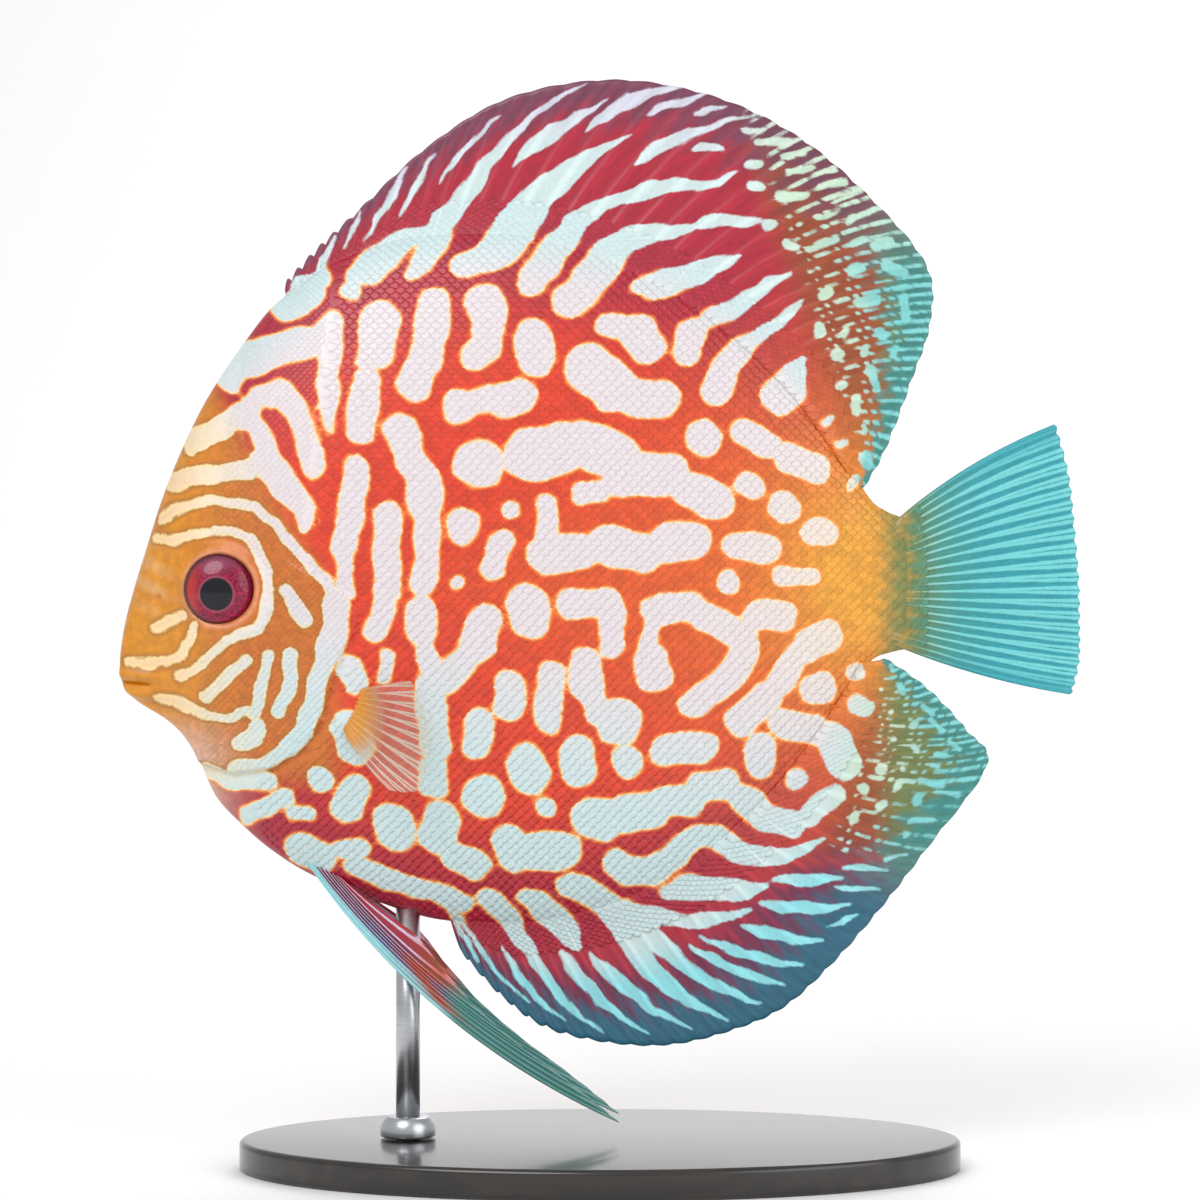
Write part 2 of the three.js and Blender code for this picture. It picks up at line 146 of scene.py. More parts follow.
# %% Profiles of the body
HALF_WIDTH = 11.6
LENS_POWER = 0.62
back = profile([
    [0, -10.8], [0.15, -8.4], [0.8, -4.1], [1.8, 0], [4.3, 8.3], [6.9, 16.5], [10.2, 24.8],
    [14.2, 33], [19.6, 41.3], [25.9, 49.3], [37, 57], [50, 61.2], [63.5, 62], [77, 59.5],
    [90, 54], [103, 45], [113, 35], [120.5, 24.5], [126, 15.8], [BODY_LENGTH, 13.4],
])
belly = profile([
    [0, -10.8], [0.15, -12.8], [0.8, -14.7], [2.6, -16.6], [8.5, -20.5], [12.2, -24.8],
    [16.2, -33], [20, -37.1], [24.8, -41.3], [31, -45.3], [40, -49.2], [53.6, -53.3],
    [66.8, -54.5], [80, -52.5], [93, -47], [104.8, -38], [114.7, -26.4], [121.3, -16.5],
    [125.8, -9.6], [BODY_LENGTH, -8.1],
])
girth = profile([
    [0, 0], [0.15, 0.12], [0.8, 0.22], [3, 0.32], [6, 0.42], [10, 0.54], [16, 0.7], [24, 0.85],
    [34, 0.96], [46, 1], [60, 0.96], [75, 0.85], [90, 0.69], [103, 0.53], [115, 0.37],
    [125, 0.24], [BODY_LENGTH, 0.19],
])
print(f"body {float(back(63.5) - belly(66.8)):.1f} mm deep and {2 * HALF_WIDTH:.1f} mm wide")


# %% Width of the body at a place seen from the side
def middle_height(x):
    return (back(x) + belly(x)) / 2


def half_width(x, z):
    middle = middle_height(x)
    off_middle = np.minimum(1, np.abs(z - middle) / np.maximum(back(x) - middle, 1e-6))
    return HALF_WIDTH * girth(x) * (1 - off_middle * off_middle) ** LENS_POWER


print(f"half width at the eye {float(half_width(EYE_X, EYE_ABOVE_AXIS)):.1f} mm")


# %% Soft steps
def bell(distance, reach):
    """1 at no distance, and nearly 0 at twice the reach."""
    return np.exp(-((distance / reach) ** 2))


def ease(value, low, high):
    """0 up to low, 1 from high, and a smooth rise between."""
    t = np.clip((value - low) / (high - low), 0, 1)
    return t * t * (3 - 2 * t)


def from_eye(x, z):
    return np.hypot(x - EYE_X, z - EYE_ABOVE_AXIS)


# %% [markdown]
# ## Markings as distances
# The fish wears pale islands and stripes on an orange-red ground. Painting them into a picture
# would be one way, but a distance is sharper: for every point of the skin we work out how far
# it lies inside or outside the nearest stroke, and the finish turns that one number into
# ground, halo and island. Each stroke is a traced brush line. On the body it is given
# by its width and then its places on the photograph. The same strokes mark both sides.

# %% Strokes of the nape
# Here the pale colour is the wider one, so it is laid first and the red lines cut through it.
NAPE_PALE_PX = [
    (30, 284, 306, 308, 292),
    (38, 232, 372, 244, 358),
    (34, 255, 357, 300, 342, 325, 334),
    (24, 331, 324, 331, 360, 329, 400, 328, 424),
    (24, 192, 441, 222, 426, 250, 404, 278, 392),
    (22, 284, 396, 298, 414, 308, 440, 316, 468),
    (28, 254, 428, 264, 452, 278, 476, 294, 498, 308, 518),
    (18, 172, 480, 215, 474, 250, 470),
    (42, 379, 322, 373, 350),
    (30, 366, 385, 361, 430),
    (25, 358, 470, 353, 510, 346, 545),
    (15, 344, 550, 349, 592),
]
NAPE_LINES_PX = [
    (9, 250, 334, 272, 328, 290, 325, 308, 320),
    (13, 308, 320, 322, 310, 336, 300, 352, 300, 368, 290),
    (17, 352, 306, 351, 330, 349, 358, 347, 378),
    (12, 346, 385, 343, 410, 341, 430, 338, 455, 334, 478),
    (19, 329, 486, 324, 497),
    (10, 323, 505, 321, 520, 312, 534),
    (6, 188, 427, 205, 418),
    (9, 210, 414, 222, 407, 236, 397),
    (13, 243, 390, 250, 383),
    (9, 256, 380, 275, 373, 296, 366),
    (15, 302, 368, 309, 382, 314, 400),
    (9, 317, 412, 322, 428, 331, 444),
    (15, 266, 413, 277, 424, 286, 440, 292, 455),
    (10, 296, 463, 303, 477, 315, 488),
    (9, 174, 467, 190, 459),
    (13, 196, 457, 222, 451, 240, 446),
    (12, 246, 436, 249, 450),
    (11, 158, 509, 178, 495, 200, 490, 226, 487, 252, 487, 266, 495, 280, 505, 291, 518, 299, 536),
]

# %% Strokes of the face
FACE_LINES_PX = [
    (7, 160, 518, 172, 510, 190, 504, 215, 501, 240, 503, 258, 509, 272, 520, 290, 540),
    (9, 290, 540, 310, 563, 328, 583, 340, 598),
    (24, 338, 606, 338, 625, 331, 650),
    (17, 328, 655, 320, 680, 314, 705, 306, 728, 290, 747),
    (11, 285, 752, 262, 764, 232, 768),
    (6, 155, 537, 175, 540, 195, 535, 215, 530, 235, 533, 252, 539),
    (8, 252, 539, 262, 555, 268, 572, 271, 590, 268, 612, 260, 627),
    (7, 260, 628, 245, 634, 228, 641, 213, 652, 203, 664, 180, 676),
    (12, 289, 592, 297, 606, 306, 620),
    (5, 183, 613, 170, 622, 155, 628),
    (6, 194, 626, 192, 640, 183, 652, 170, 661, 150, 664, 124, 661),
    (9, 247, 661, 232, 672, 218, 686, 205, 697),
    (9, 269, 655, 267, 672, 261, 692, 255, 714),
    (6, 155, 698, 172, 701, 190, 709, 208, 717, 228, 718, 246, 711),
    (14, 259, 728, 254, 737, 240, 743),
    (12, 292, 655, 293, 676, 287, 697, 280, 709),
    (14, 205, 772, 235, 783, 268, 781),
]

# %% Strokes of the flank, from the nape down to the middle
UPPER_ISLANDS_PX = [
    (31, 433, 304, 431, 335, 424, 362, 414, 386),
    (38, 484, 304, 487, 308),
    (28, 488, 318, 487, 345, 475, 357),
    (35, 533, 337, 535, 359),
    (46, 588, 368, 612, 388),
    (36, 632, 397, 660, 400),
    (32, 460, 408),
    (24, 478, 402, 490, 400),
    (34, 508, 401, 518, 398),
    (30, 401, 430, 406, 444),
    (28, 412, 460, 420, 474),
    (32, 425, 482, 426, 505),
    (44, 477, 464, 480, 466),
    (50, 530, 456, 560, 450),
    (44, 585, 444, 615, 458),
    (40, 624, 476, 668, 474),
    (34, 690, 490, 716, 502),
    (21, 582, 494, 598, 492),
    (18, 547, 505, 546, 535),
    (28, 464, 524, 464, 530),
    (15, 512, 510),
    (21, 502, 542, 492, 568),
    (20, 606, 325, 622, 326),
    (36, 638, 332, 645, 344),
    (26, 686, 350, 692, 330),
    (34, 702, 438),
    (24, 742, 431, 768, 445),
    (28, 790, 457, 816, 469),
    (20, 745, 482, 753, 487),
    (30, 784, 506),
    (26, 815, 532, 824, 532),
]

# %% Strokes of the flank, from the middle to the belly
LOWER_ISLANDS_PX = [
    (24, 389, 515, 388, 560, 389, 590),
    (20, 386, 605, 377, 632),
    (11, 388, 655, 386, 678),
    (22, 428, 515, 428, 560, 424, 585),
    (27, 421, 610, 423, 632),
    (16, 426, 650, 430, 664),
    (27, 430, 684, 432, 712, 436, 745),
    (17, 438, 765, 437, 788),
    (12, 458, 582),
    (34, 545, 556, 580, 552),
    (37, 605, 545, 640, 553),
    (37, 668, 543, 690, 541),
    (38, 527, 604, 530, 618),
    (27, 570, 604, 606, 603),
    (22, 612, 612, 611, 645),
    (30, 585, 663, 586, 685),
    (22, 590, 694, 598, 714),
    (44, 618, 722),
    (28, 655, 611, 690, 606),
    (26, 700, 614, 726, 628, 744, 640),
    (34, 650, 663, 654, 674),
    (14, 652, 622, 647, 646),
    (26, 745, 647, 738, 666, 715, 688, 692, 704),
    (30, 828, 636, 808, 646),
    (24, 795, 656, 780, 682),
    (28, 766, 698, 739, 722),
    (28, 758, 615, 782, 616),
    (21, 728, 582),
    (26, 736, 546, 768, 549),
    (16, 780, 576, 810, 577),
    (32, 484, 622, 478, 645),
    (26, 464, 660, 448, 678),
    (28, 510, 685, 509, 705),
    (26, 480, 722, 476, 745),
    (24, 552, 674, 548, 694, 548, 720),
    (32, 577, 752, 578, 770),
    (36, 526, 762, 530, 776),
    (38, 482, 794, 484, 798),
    (34, 441, 818, 437, 836),
    (26, 455, 856, 476, 866),
    (30, 508, 840, 514, 856),
    (36, 530, 852, 562, 851),
    (18, 545, 806),
    (40, 592, 818, 602, 820),
    (36, 628, 814, 650, 810),
    (28, 664, 801, 690, 802),
    (27, 626, 760, 628, 764),
    (29, 665, 750, 702, 747),
    (28, 700, 788, 724, 785),
    (27, 744, 800, 766, 819, 794, 826),
    (22, 812, 817, 828, 802, 838, 797),
    (20, 798, 780),
    (28, 760, 748, 761, 764),
    (28, 785, 724, 815, 731),
    (34, 836, 742, 846, 764),
    (29, 815, 690, 822, 688),
    (18, 858, 672),
    (18, 860, 705, 868, 709),
    (37, 392, 822, 396, 831),
    (28, 355, 790, 346, 808),
    (24, 320, 778),
    (34, 350, 728, 356, 746),
    (23, 352, 668, 357, 680),
    (16, 285, 797, 262, 808, 245, 817),
    (13, 292, 813, 308, 813),
    (30, 298, 850, 318, 858),
    (15, 340, 850, 362, 848),
    (18, 352, 866, 390, 882, 430, 892, 462, 905),
    (18, 428, 768, 430, 786),
]

# %% Strokes of the dorsal fin and of the back below it
# On the fins a stroke thins towards the margin, so each of its places has a width of its own.
DORSAL_STRIPES_PX = [
    [(300, 284, 24), (318, 276, 20)],
    [(350, 290, 20)],
    [(356, 273, 24), (366, 267, 34), (380, 256, 34), (392, 244, 28), (406, 235, 20), (430, 226, 12)],
    [(410, 273, 14), (420, 262, 22), (432, 242, 26), (441, 219, 26), (456, 202, 23), (471, 183, 20),
     (484, 162, 15), (497, 146, 12), (512, 131, 10), (530, 113, 8), (552, 96, 7), (588, 79, 3)],
    [(439, 179, 3), (452, 156, 7), (470, 137, 7), (500, 110, 3)],
    [(398, 214, 3), (410, 189, 8), (420, 170, 7), (433, 150, 3)],
    [(362, 238, 3), (376, 214, 7), (391, 190, 9), (406, 162, 3)],
    [(343, 246, 3), (350, 226, 7), (358, 206, 3)],
    [(316, 276, 10), (322, 256, 10), (331, 232, 4)],
    [(462, 264, 24), (484, 258, 28), (502, 244, 42), (512, 227, 43), (524, 210, 40), (536, 194, 34),
     (550, 182, 29), (572, 166, 24), (590, 151, 17), (610, 140, 10), (632, 131, 3)],
    [(511, 162, 3), (522, 150, 10), (536, 139, 16), (552, 128, 16), (575, 113, 11), (606, 95, 3)],
    [(586, 128, 3), (598, 116, 10), (614, 105, 14), (632, 95, 15), (652, 87, 11), (690, 80, 4)],
    [(645, 110, 3), (660, 103, 9), (684, 96, 9), (708, 88, 4)],
    [(694, 108, 4), (706, 106, 8), (728, 101, 3)],
    [(634, 160, 3), (644, 152, 12), (658, 143, 17), (676, 135, 14), (698, 127, 9), (726, 117, 6),
     (758, 109, 4)],
    [(691, 145, 3), (703, 142, 13), (724, 145, 5)],
    [(531, 281, 30), (545, 262, 30), (560, 240, 28), (574, 222, 25), (588, 209, 20), (602, 201, 16),
     (618, 196, 14), (638, 190, 14), (654, 184, 18), (674, 181, 16), (696, 182, 10), (720, 178, 8),
     (738, 167, 4)],
    [(567, 302, 33), (582, 288, 35), (598, 268, 36), (609, 252, 34), (626, 237, 27), (655, 228, 20),
     (674, 229, 13), (690, 225, 10)],
    [(686, 226, 3), (704, 219, 12), (726, 216, 15), (742, 218, 14), (762, 217, 5)],
    [(637, 286, 14), (650, 284, 26), (668, 280, 28), (692, 272, 26), (710, 265, 20), (726, 258, 13),
     (742, 251, 4)],
    [(696, 325, 10), (712, 316, 18), (734, 307, 19), (754, 293, 17), (769, 281, 14), (792, 270, 5)],
    [(716, 390, 30), (724, 368, 28), (738, 350, 24), (752, 338, 16), (776, 323, 14), (790, 310, 14),
     (804, 296, 5)],
    [(779, 396, 36), (788, 388, 38), (796, 372, 28), (803, 358, 10)],
]

# %% Dashes and dots of the rear lobes
DORSAL_DOTS_PX = [
    (7, 745, 126, 765, 125), (9, 760, 138, 790, 137), (7, 785, 151, 806, 150),
    (7, 790, 166, 815, 165), (5, 825, 170, 840, 166), (9, 750, 160, 760, 161),
    (11, 752, 181, 763, 182), (11, 780, 192, 806, 192), (8, 820, 185, 846, 178),
    (6, 835, 198, 865, 187), (6, 820, 215, 842, 207), (7, 850, 218, 882, 203),
    (12, 770, 222, 774, 221), (9, 788, 240, 799, 243), (8, 812, 247, 838, 236),
    (10, 858, 239, 866, 236), (10, 878, 243, 892, 237), (13, 854, 268, 861, 265),
    (13, 826, 293, 830, 290), (12, 860, 300, 880, 297), (12, 890, 262, 905, 270),
    (12, 821, 324, 822, 331), (9, 846, 331, 849, 328), (10, 838, 353, 842, 350),
    (9, 866, 346, 866, 352), (11, 882, 328, 886, 334), (10, 874, 366, 880, 384),
    (9, 842, 384, 846, 382), (11, 858, 396, 860, 410), (9, 828, 420, 832, 416),
    (8, 840, 443, 846, 440), (15, 868, 456, 870, 462), (10, 852, 486, 858, 478),
    (7, 866, 424, 867, 428), (9, 908, 292, 908, 318), (8, 896, 352, 900, 344),
]
ANAL_DOTS_PX = [
    (6, 893, 666, 895, 670), (6, 884, 690), (7, 904, 688, 905, 694), (6, 893, 712), (9, 915, 728, 917, 726),
    (8, 896, 741), (8, 918, 748, 921, 750), (13, 884, 773, 886, 770), (11, 866, 790, 868, 792),
    (10, 855, 822, 857, 818), (10, 883, 808, 887, 806), (9, 899, 789, 900, 785), (6, 906, 770),
    (10, 919, 803, 922, 798), (7, 848, 853), (6, 909, 838), (8, 928, 707, 936, 714),
    (7, 934, 722, 946, 730), (6, 940, 756, 950, 759), (6, 924, 783, 945, 787), (6, 952, 744, 962, 750),
    (6, 940, 794, 962, 798), (7, 912, 824, 936, 822), (6, 934, 766, 942, 768),
]

# %% Strokes of the anal fin
ANAL_STRIPES_PX = [
    [(446, 906, 7), (459, 933, 7), (478, 966, 4)],
    [(458, 918, 4), (478, 950, 6), (500, 980, 6), (530, 1008, 3)],
    [(484, 898, 18), (496, 906, 22), (508, 920, 18), (518, 938, 18), (534, 962, 14), (550, 988, 11),
     (571, 1014, 8), (604, 1036, 3)],
    [(500, 950, 4), (516, 976, 8), (536, 1002, 8), (566, 1026, 3)],
    [(526, 898, 18), (540, 908, 26), (556, 924, 26), (570, 938, 24), (576, 950, 12)],
    [(560, 954, 6), (572, 972, 14), (595, 998, 13), (620, 1020, 9), (648, 1037, 3)],
    [(590, 957, 5), (604, 972, 14), (625, 990, 15), (656, 1016, 10), (692, 1032, 3)],
    [(568, 886, 24), (586, 893, 27), (606, 906, 24), (620, 926, 26), (634, 950, 27), (654, 976, 20),
     (684, 1002, 12), (728, 1024, 4)],
    [(622, 922, 18), (646, 934, 26), (668, 954, 19), (692, 974, 13), (722, 992, 11), (762, 1008, 4)],
    [(626, 912, 18), (654, 918, 18), (690, 925, 17), (716, 922, 15), (750, 914, 6)],
    [(690, 950, 5), (712, 962, 11), (744, 976, 11), (786, 990, 4)],
    [(702, 940, 4), (730, 952, 11), (766, 963, 11), (806, 970, 4)],
    [(744, 928, 5), (764, 935, 13), (792, 942, 12), (826, 944, 4)],
    [(762, 907, 5), (784, 909, 14), (814, 912, 13), (852, 908, 4)],
    [(776, 883, 6), (796, 882, 14), (822, 883, 12), (846, 880, 4)],
    [(668, 895, 18), (692, 889, 27), (720, 892, 26), (748, 893, 20), (768, 888, 8)],
    [(614, 862, 24), (630, 872, 31), (652, 873, 30), (670, 862, 27), (682, 848, 24), (700, 836, 22),
     (716, 838, 24), (736, 852, 24), (762, 860, 22), (790, 857, 16), (808, 851, 12), (826, 842, 4)],
    [(838, 890, 3), (858, 891, 8), (884, 893, 3)],
    [(844, 870, 3), (866, 871, 9), (890, 872, 3)],
    [(888, 863, 5), (910, 857, 3)],
    [(830, 930, 3), (846, 924, 8), (862, 918, 3)],
]


# %% Distance into the nearest stroke
FAR_OUTSIDE = -3.0
MERGE = 0.2


def of_one_width(strokes):
    """Each stroke's places with its one width beside every place."""
    return [[(x, y, width) for x, y in zip(flat[::2], flat[1::2])] for width, *flat in strokes]


def into_strokes(points, strokes):
    """How deep each [x, z] point lies inside the nearest stroke, negative outside, in mm."""
    best = np.full(len(points), FAR_OUTSIDE)
    for stroke in strokes:
        places = np.array([*stroke, stroke[-1]], float)
        line = from_photo(places[:, :2])
        reach = places[:, 2] * MM_PER_PX / 2
        low = line.min(0) - reach.max() + FAR_OUTSIDE
        high = line.max(0) + reach.max() - FAR_OUTSIDE
        near = np.flatnonzero(np.all((points > low) & (points < high), axis=1))
        here = points[near]
        depth = np.full(len(near), FAR_OUTSIDE)
        for a, b, reach_a, reach_b in zip(line[:-1], line[1:], reach[:-1], reach[1:]):
            along = b - a
            t = np.clip((here - a) @ along / max(along @ along, 1e-9), 0, 1)
            away = np.hypot(*(here - a - t[:, None] * along).T)
            depth = np.maximum(depth, reach_a + (reach_b - reach_a) * t - away)
        best[near] = MERGE * np.logaddexp(best[near] / MERGE, depth / MERGE)
    return best


# %% Depth into all the markings
BODY_SWELL = 0.24
NAPE_SWELL = 0.1
FIN_SWELL = 0.06
WAVER = 0.2
NAPE_PALE = of_one_width(NAPE_PALE_PX)
NAPE_LINES = of_one_width(NAPE_LINES_PX)
BODY_STROKES = of_one_width(FACE_LINES_PX + UPPER_ISLANDS_PX + LOWER_ISLANDS_PX)
FIN_STROKES = DORSAL_STRIPES_PX + ANAL_STRIPES_PX + of_one_width(DORSAL_DOTS_PX + ANAL_DOTS_PX)


def markings(points):
    """Depth inside the pale markings, with a slow waver so that no edge is a ruler's."""
    x, z = points.T
    wavered = points + WAVER * np.c_[
        np.sin(0.9 * z + 1.7 * np.sin(0.6 * x)), np.sin(0.8 * x + 1.9 * np.sin(0.7 * z))
    ]
    nape = NAPE_SWELL + np.minimum(
        into_strokes(wavered, NAPE_PALE), -into_strokes(wavered, NAPE_LINES)
    )
    flank = into_strokes(wavered, BODY_STROKES) + BODY_SWELL
    return np.maximum(np.maximum(nape, flank), into_strokes(wavered, FIN_STROKES) + FIN_SWELL)


print(len(NAPE_PALE + NAPE_LINES + BODY_STROKES + FIN_STROKES), "strokes a side")

# %% [markdown]
# ## Colours by place
# The ground is crimson near the fins, red-orange on the flank, and amber on the face and the
# tail's root. The islands are pinkish white in the middle and bluish white towards the fins.
# Each colour gets a soft region of its own, worked out from the place, and both ride on the
# skin as colour attributes.


# %% Colours
def srgb(red, green, blue):
    value = np.array([red, green, blue], float)
    return np.where(value <= 0.04045, value / 12.92, ((value + 0.055) / 1.055) ** 2.4)


RED_ORANGE = srgb(0.88, 0.22, 0.09)
CRIMSON = srgb(0.69, 0.09, 0.20)
ORANGE = srgb(0.90, 0.38, 0.10)
AMBER = srgb(0.93, 0.63, 0.18)
GOLD = srgb(0.85, 0.55, 0.09)
CHEEK = srgb(0.81, 0.43, 0.12)
BROWN = srgb(0.60, 0.27, 0.12)
DARK_TEAL = srgb(0.12, 0.38, 0.48)
EYE_RING = srgb(0.93, 0.62, 0.46)
PINK_WHITE = srgb(0.905, 0.85, 0.86)
BLUE_WHITE = srgb(0.81, 0.885, 0.885)
LAVENDER = srgb(0.80, 0.76, 0.85)
CREAM = srgb(0.97, 0.89, 0.74)
PEACH = srgb(0.95, 0.80, 0.62)
CLEAR_GREY = srgb(0.78, 0.77, 0.70)
TURQUOISE = srgb(0.16, 0.62, 0.67)
PALE_TURQUOISE = srgb(0.42, 0.78, 0.79)
OLIVE = srgb(0.40, 0.50, 0.28)
OLIVE_BROWN = srgb(0.58, 0.40, 0.14)
SEA_GREEN = srgb(0.28, 0.58, 0.50)
CYAN = srgb(0.56, 0.87, 0.90)
PALE_GREEN = srgb(0.76, 0.86, 0.74)
MARGIN_TEAL = srgb(0.22, 0.52, 0.50)
PURPLE_GREY = srgb(0.42, 0.22, 0.32)
PLUM = srgb(0.44, 0.13, 0.28)
INDIGO = srgb(0.25, 0.22, 0.45)
FILAMENT = srgb(0.48, 0.62, 0.60)
CHIN = srgb(0.86, 0.70, 0.62)
HALO_ORANGE = srgb(1.0, 0.55, 0.20)


def blend(low, high, share):
    share = np.asarray(share)[..., None]
    return low * (1 - share) + high * share


# %% Ground and island colours of a place seen from the side
EYE_RING_RADIUS = 6.2
FLANK_X, FLANK_Z, FLANK_LENGTH, FLANK_HEIGHT = 66, 3, 62, 56
# Middle of the painted highlight on the front of the forehead.
FOREHEAD_HIGHLIGHT_X, FOREHEAD_HIGHLIGHT_Z = 6, 3
TAIL_ROOT_X, TAIL_ROOT_Z = 126, 4


def rear_lobes(x, z):
    """1 on the brown rear lobes of the dorsal fin and the anal fin, 0 elsewhere."""
    upper = ease(x - 103.5 - 0.35 * (76 - z), -3, 5) * ease(z, 9, 16)
    lower = ease(x - 117.5 - 0.3 * (z + 39), -3, 4) * ease(z, -46, -40) * ease(-z, 7, 12)
    return upper + lower


def on_face(x, z):
    return ease(-(x + 0.6 * np.maximum(z, 0)), -40, -34) * ease(z, -33, -27)


def glow_colour(x, z):
    """The line round a marking: orange on the body, olive on the cheek."""
    return blend(HALO_ORANGE, OLIVE_BROWN, 0.85 * on_face(x, z))


def body_colours(x, z):
    out = np.hypot((x - FLANK_X) / FLANK_LENGTH, (z - FLANK_Z) / FLANK_HEIGHT)
    ground = blend(RED_ORANGE, CRIMSON, ease(out, 0.62, 0.98))
    warm = ease(x - 1.3 * np.abs(z - 2), 30, 100)
    ground = blend(ground, ORANGE, 0.8 * warm)
    face = on_face(x, z)
    ground = blend(ground, CHEEK, face)
    ground = blend(ground, GOLD, face * ease(-x, -24, -7))
    # Painted highlight: a pale cream spot on the front of the forehead, broken into streaks.
    forehead_highlight = bell(np.hypot(x - FOREHEAD_HIGHLIGHT_X, (z - FOREHEAD_HIGHLIGHT_Z) * 0.6), 3.0)
    ground = blend(ground, CREAM, 0.28 * forehead_highlight * (1 + np.sin(1.6 * z + 0.8 * x)) / 2)
    chin = ease(-z, 17, 26) * ease(-x, -25, -11)
    ground = blend(ground, CHIN, chin * 0.85)
    ground = blend(ground, EYE_RING, 0.85 * bell(from_eye(x, z) - EYE_RING_RADIUS, 0.45))
    rear = bell(np.hypot(x - TAIL_ROOT_X, (z - TAIL_ROOT_Z) * 0.9), 17)
    lobes = rear_lobes(x, z)
    ground = blend(ground, BROWN, lobes)
    ground = blend(ground, AMBER, np.minimum(1, 1.25 * rear))
    ragged = x + 0.8 * np.sin(1.9 * z) * np.sin(1.3 * x)
    ground = blend(ground, OLIVE, 0.9 * ease(ragged, 124.5, 130.5))
    blueish = np.maximum(ease(out, 0.86, 1.04), ease(-z + 0.25 * (FLANK_X - x), 4, 32))
    island = blend(PINK_WHITE, BLUE_WHITE, blueish)
    island = blend(island, CREAM, np.clip(0.8 * face * ease(-x, -30, -12) + 0.7 * rear, 0, 1))
    island = blend(island, PEACH, face * ease(-x, -18, -6))
    island = blend(island, PALE_GREEN, lobes * 0.8)
    return ground, island


def fin_margin_colours(ground, island, s, t, upper):
    rear = ease(s, 0.6, 0.72)
    ragged = t + 0.09 * np.sin(260 * s) * np.sin(21 * t + 90 * s)
    if upper:
        dark = ease(ragged, 0.35 + 0.25 * ease(s, 0.2, 0.5), 0.95)
        ground = blend(ground, PURPLE_GREY, dark * (1 - rear) * 0.9)
        island = blend(island, LAVENDER, ease(t, 0.5, 0.9) * (1 - ease(s, 0.4, 0.6)) * 0.7)
    else:
        ground = blend(ground, PLUM, ease(ragged, 0.3, 0.6) * (1 - rear))
        ground = blend(ground, DARK_TEAL, ease(ragged, 0.55, 0.85) * (1 - rear))
        island = blend(island, CYAN, ease(t, 0.25, 0.6) * (1 - rear))
    ground = blend(ground, MARGIN_TEAL, ease(ragged, 0.66, 0.9) * rear)
    island = blend(island, PALE_TURQUOISE, ease(t, 0.5, 0.75) * rear * 0.9)
    return ground, island


# %% [markdown]
# ## Building meshes from arrays
# Every soft form here is a grid of points worked out by a formula, so one helper turns arrays
# into a mesh object, and a second one adds the numbers that the finishes read.


# %% Mesh helpers
def new_piece(name, points, faces, finish, replaced=()):
    mesh = bpy.data.meshes.new(name)
    mesh.from_pydata(to_world(points).tolist(), [], faces)
    mesh.polygons.foreach_set("use_smooth", np.ones(len(mesh.polygons), bool))
    mesh.materials.append(finish)
    mesh.update()
    piece = bpy.data.objects.new(name, mesh)
    bpy.context.collection.objects.link(piece)
    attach(piece, "root")
    if replaced:
        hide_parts(*replaced)
    print(f"{name}: {len(mesh.polygons)} faces")
    return piece


def add_number(piece, name, values):
    layer = piece.data.attributes.new(name, "FLOAT", "POINT")
    layer.data.foreach_set("value", np.asarray(values, np.float32).ravel())


def add_colour(piece, name, values):
    rgba = np.c_[values, np.ones(len(values))].astype(np.float32)
    layer = piece.data.attributes.new(name, "FLOAT_COLOR", "POINT")
    layer.data.foreach_set("color", rgba.ravel())


def add_markings(piece, side_view, mark, halo, ground, island):
    """All that the finish reads to paint a piece, from its points seen from the side."""
    soft_snout = 0.5 * ease(-side_view[:, 0], -20, -8)
    add_number(piece, "mark", mark * (1 - soft_snout) + 0.06 * soft_snout)
    add_number(piece, "halo", halo)
    add_colour(piece, "ground", ground)
    add_colour(piece, "island", island)
    add_colour(piece, "glow", glow_colour(*side_view.T))


def grid_faces(columns, rows, start=0, ring=False):
    """Four-sided faces between columns of points; a ring joins its last row to its first."""
    i, j = np.meshgrid(np.arange(columns - 1), np.arange(rows if ring else rows - 1), indexing="ij")
    here = start + i * rows + j
    after = start + i * rows + (j + 1) % rows
    return np.stack([here, here + rows, after + rows, after], -1).reshape(-1, 4)


def capped_loft(rings, first, last):
    """Points and faces of rings of points, closed by a fan round a first and a last point."""
    count, around_it = rings.shape[:2]
    points = np.vstack([rings.reshape(-1, 3), first, last])
    faces = grid_faces(count, around_it, ring=True).tolist()
    start, last_ring = count * around_it, (count - 1) * around_it
    for j in range(around_it):
        after = (j + 1) % around_it
        faces.append([start, j, after])
        faces.append([start + 1, last_ring + after, last_ring + j])
    return points, faces


def circle(steps):
    """Equal turns round a full circle."""
    return 2 * np.pi * np.arange(steps) / steps


# %% [markdown]
# ## Finishes
# A finish is a small tree of shader nodes. The same few steps come again and again, such as
# reading an attribute, adding noise and mixing two colours, so they get short helpers.


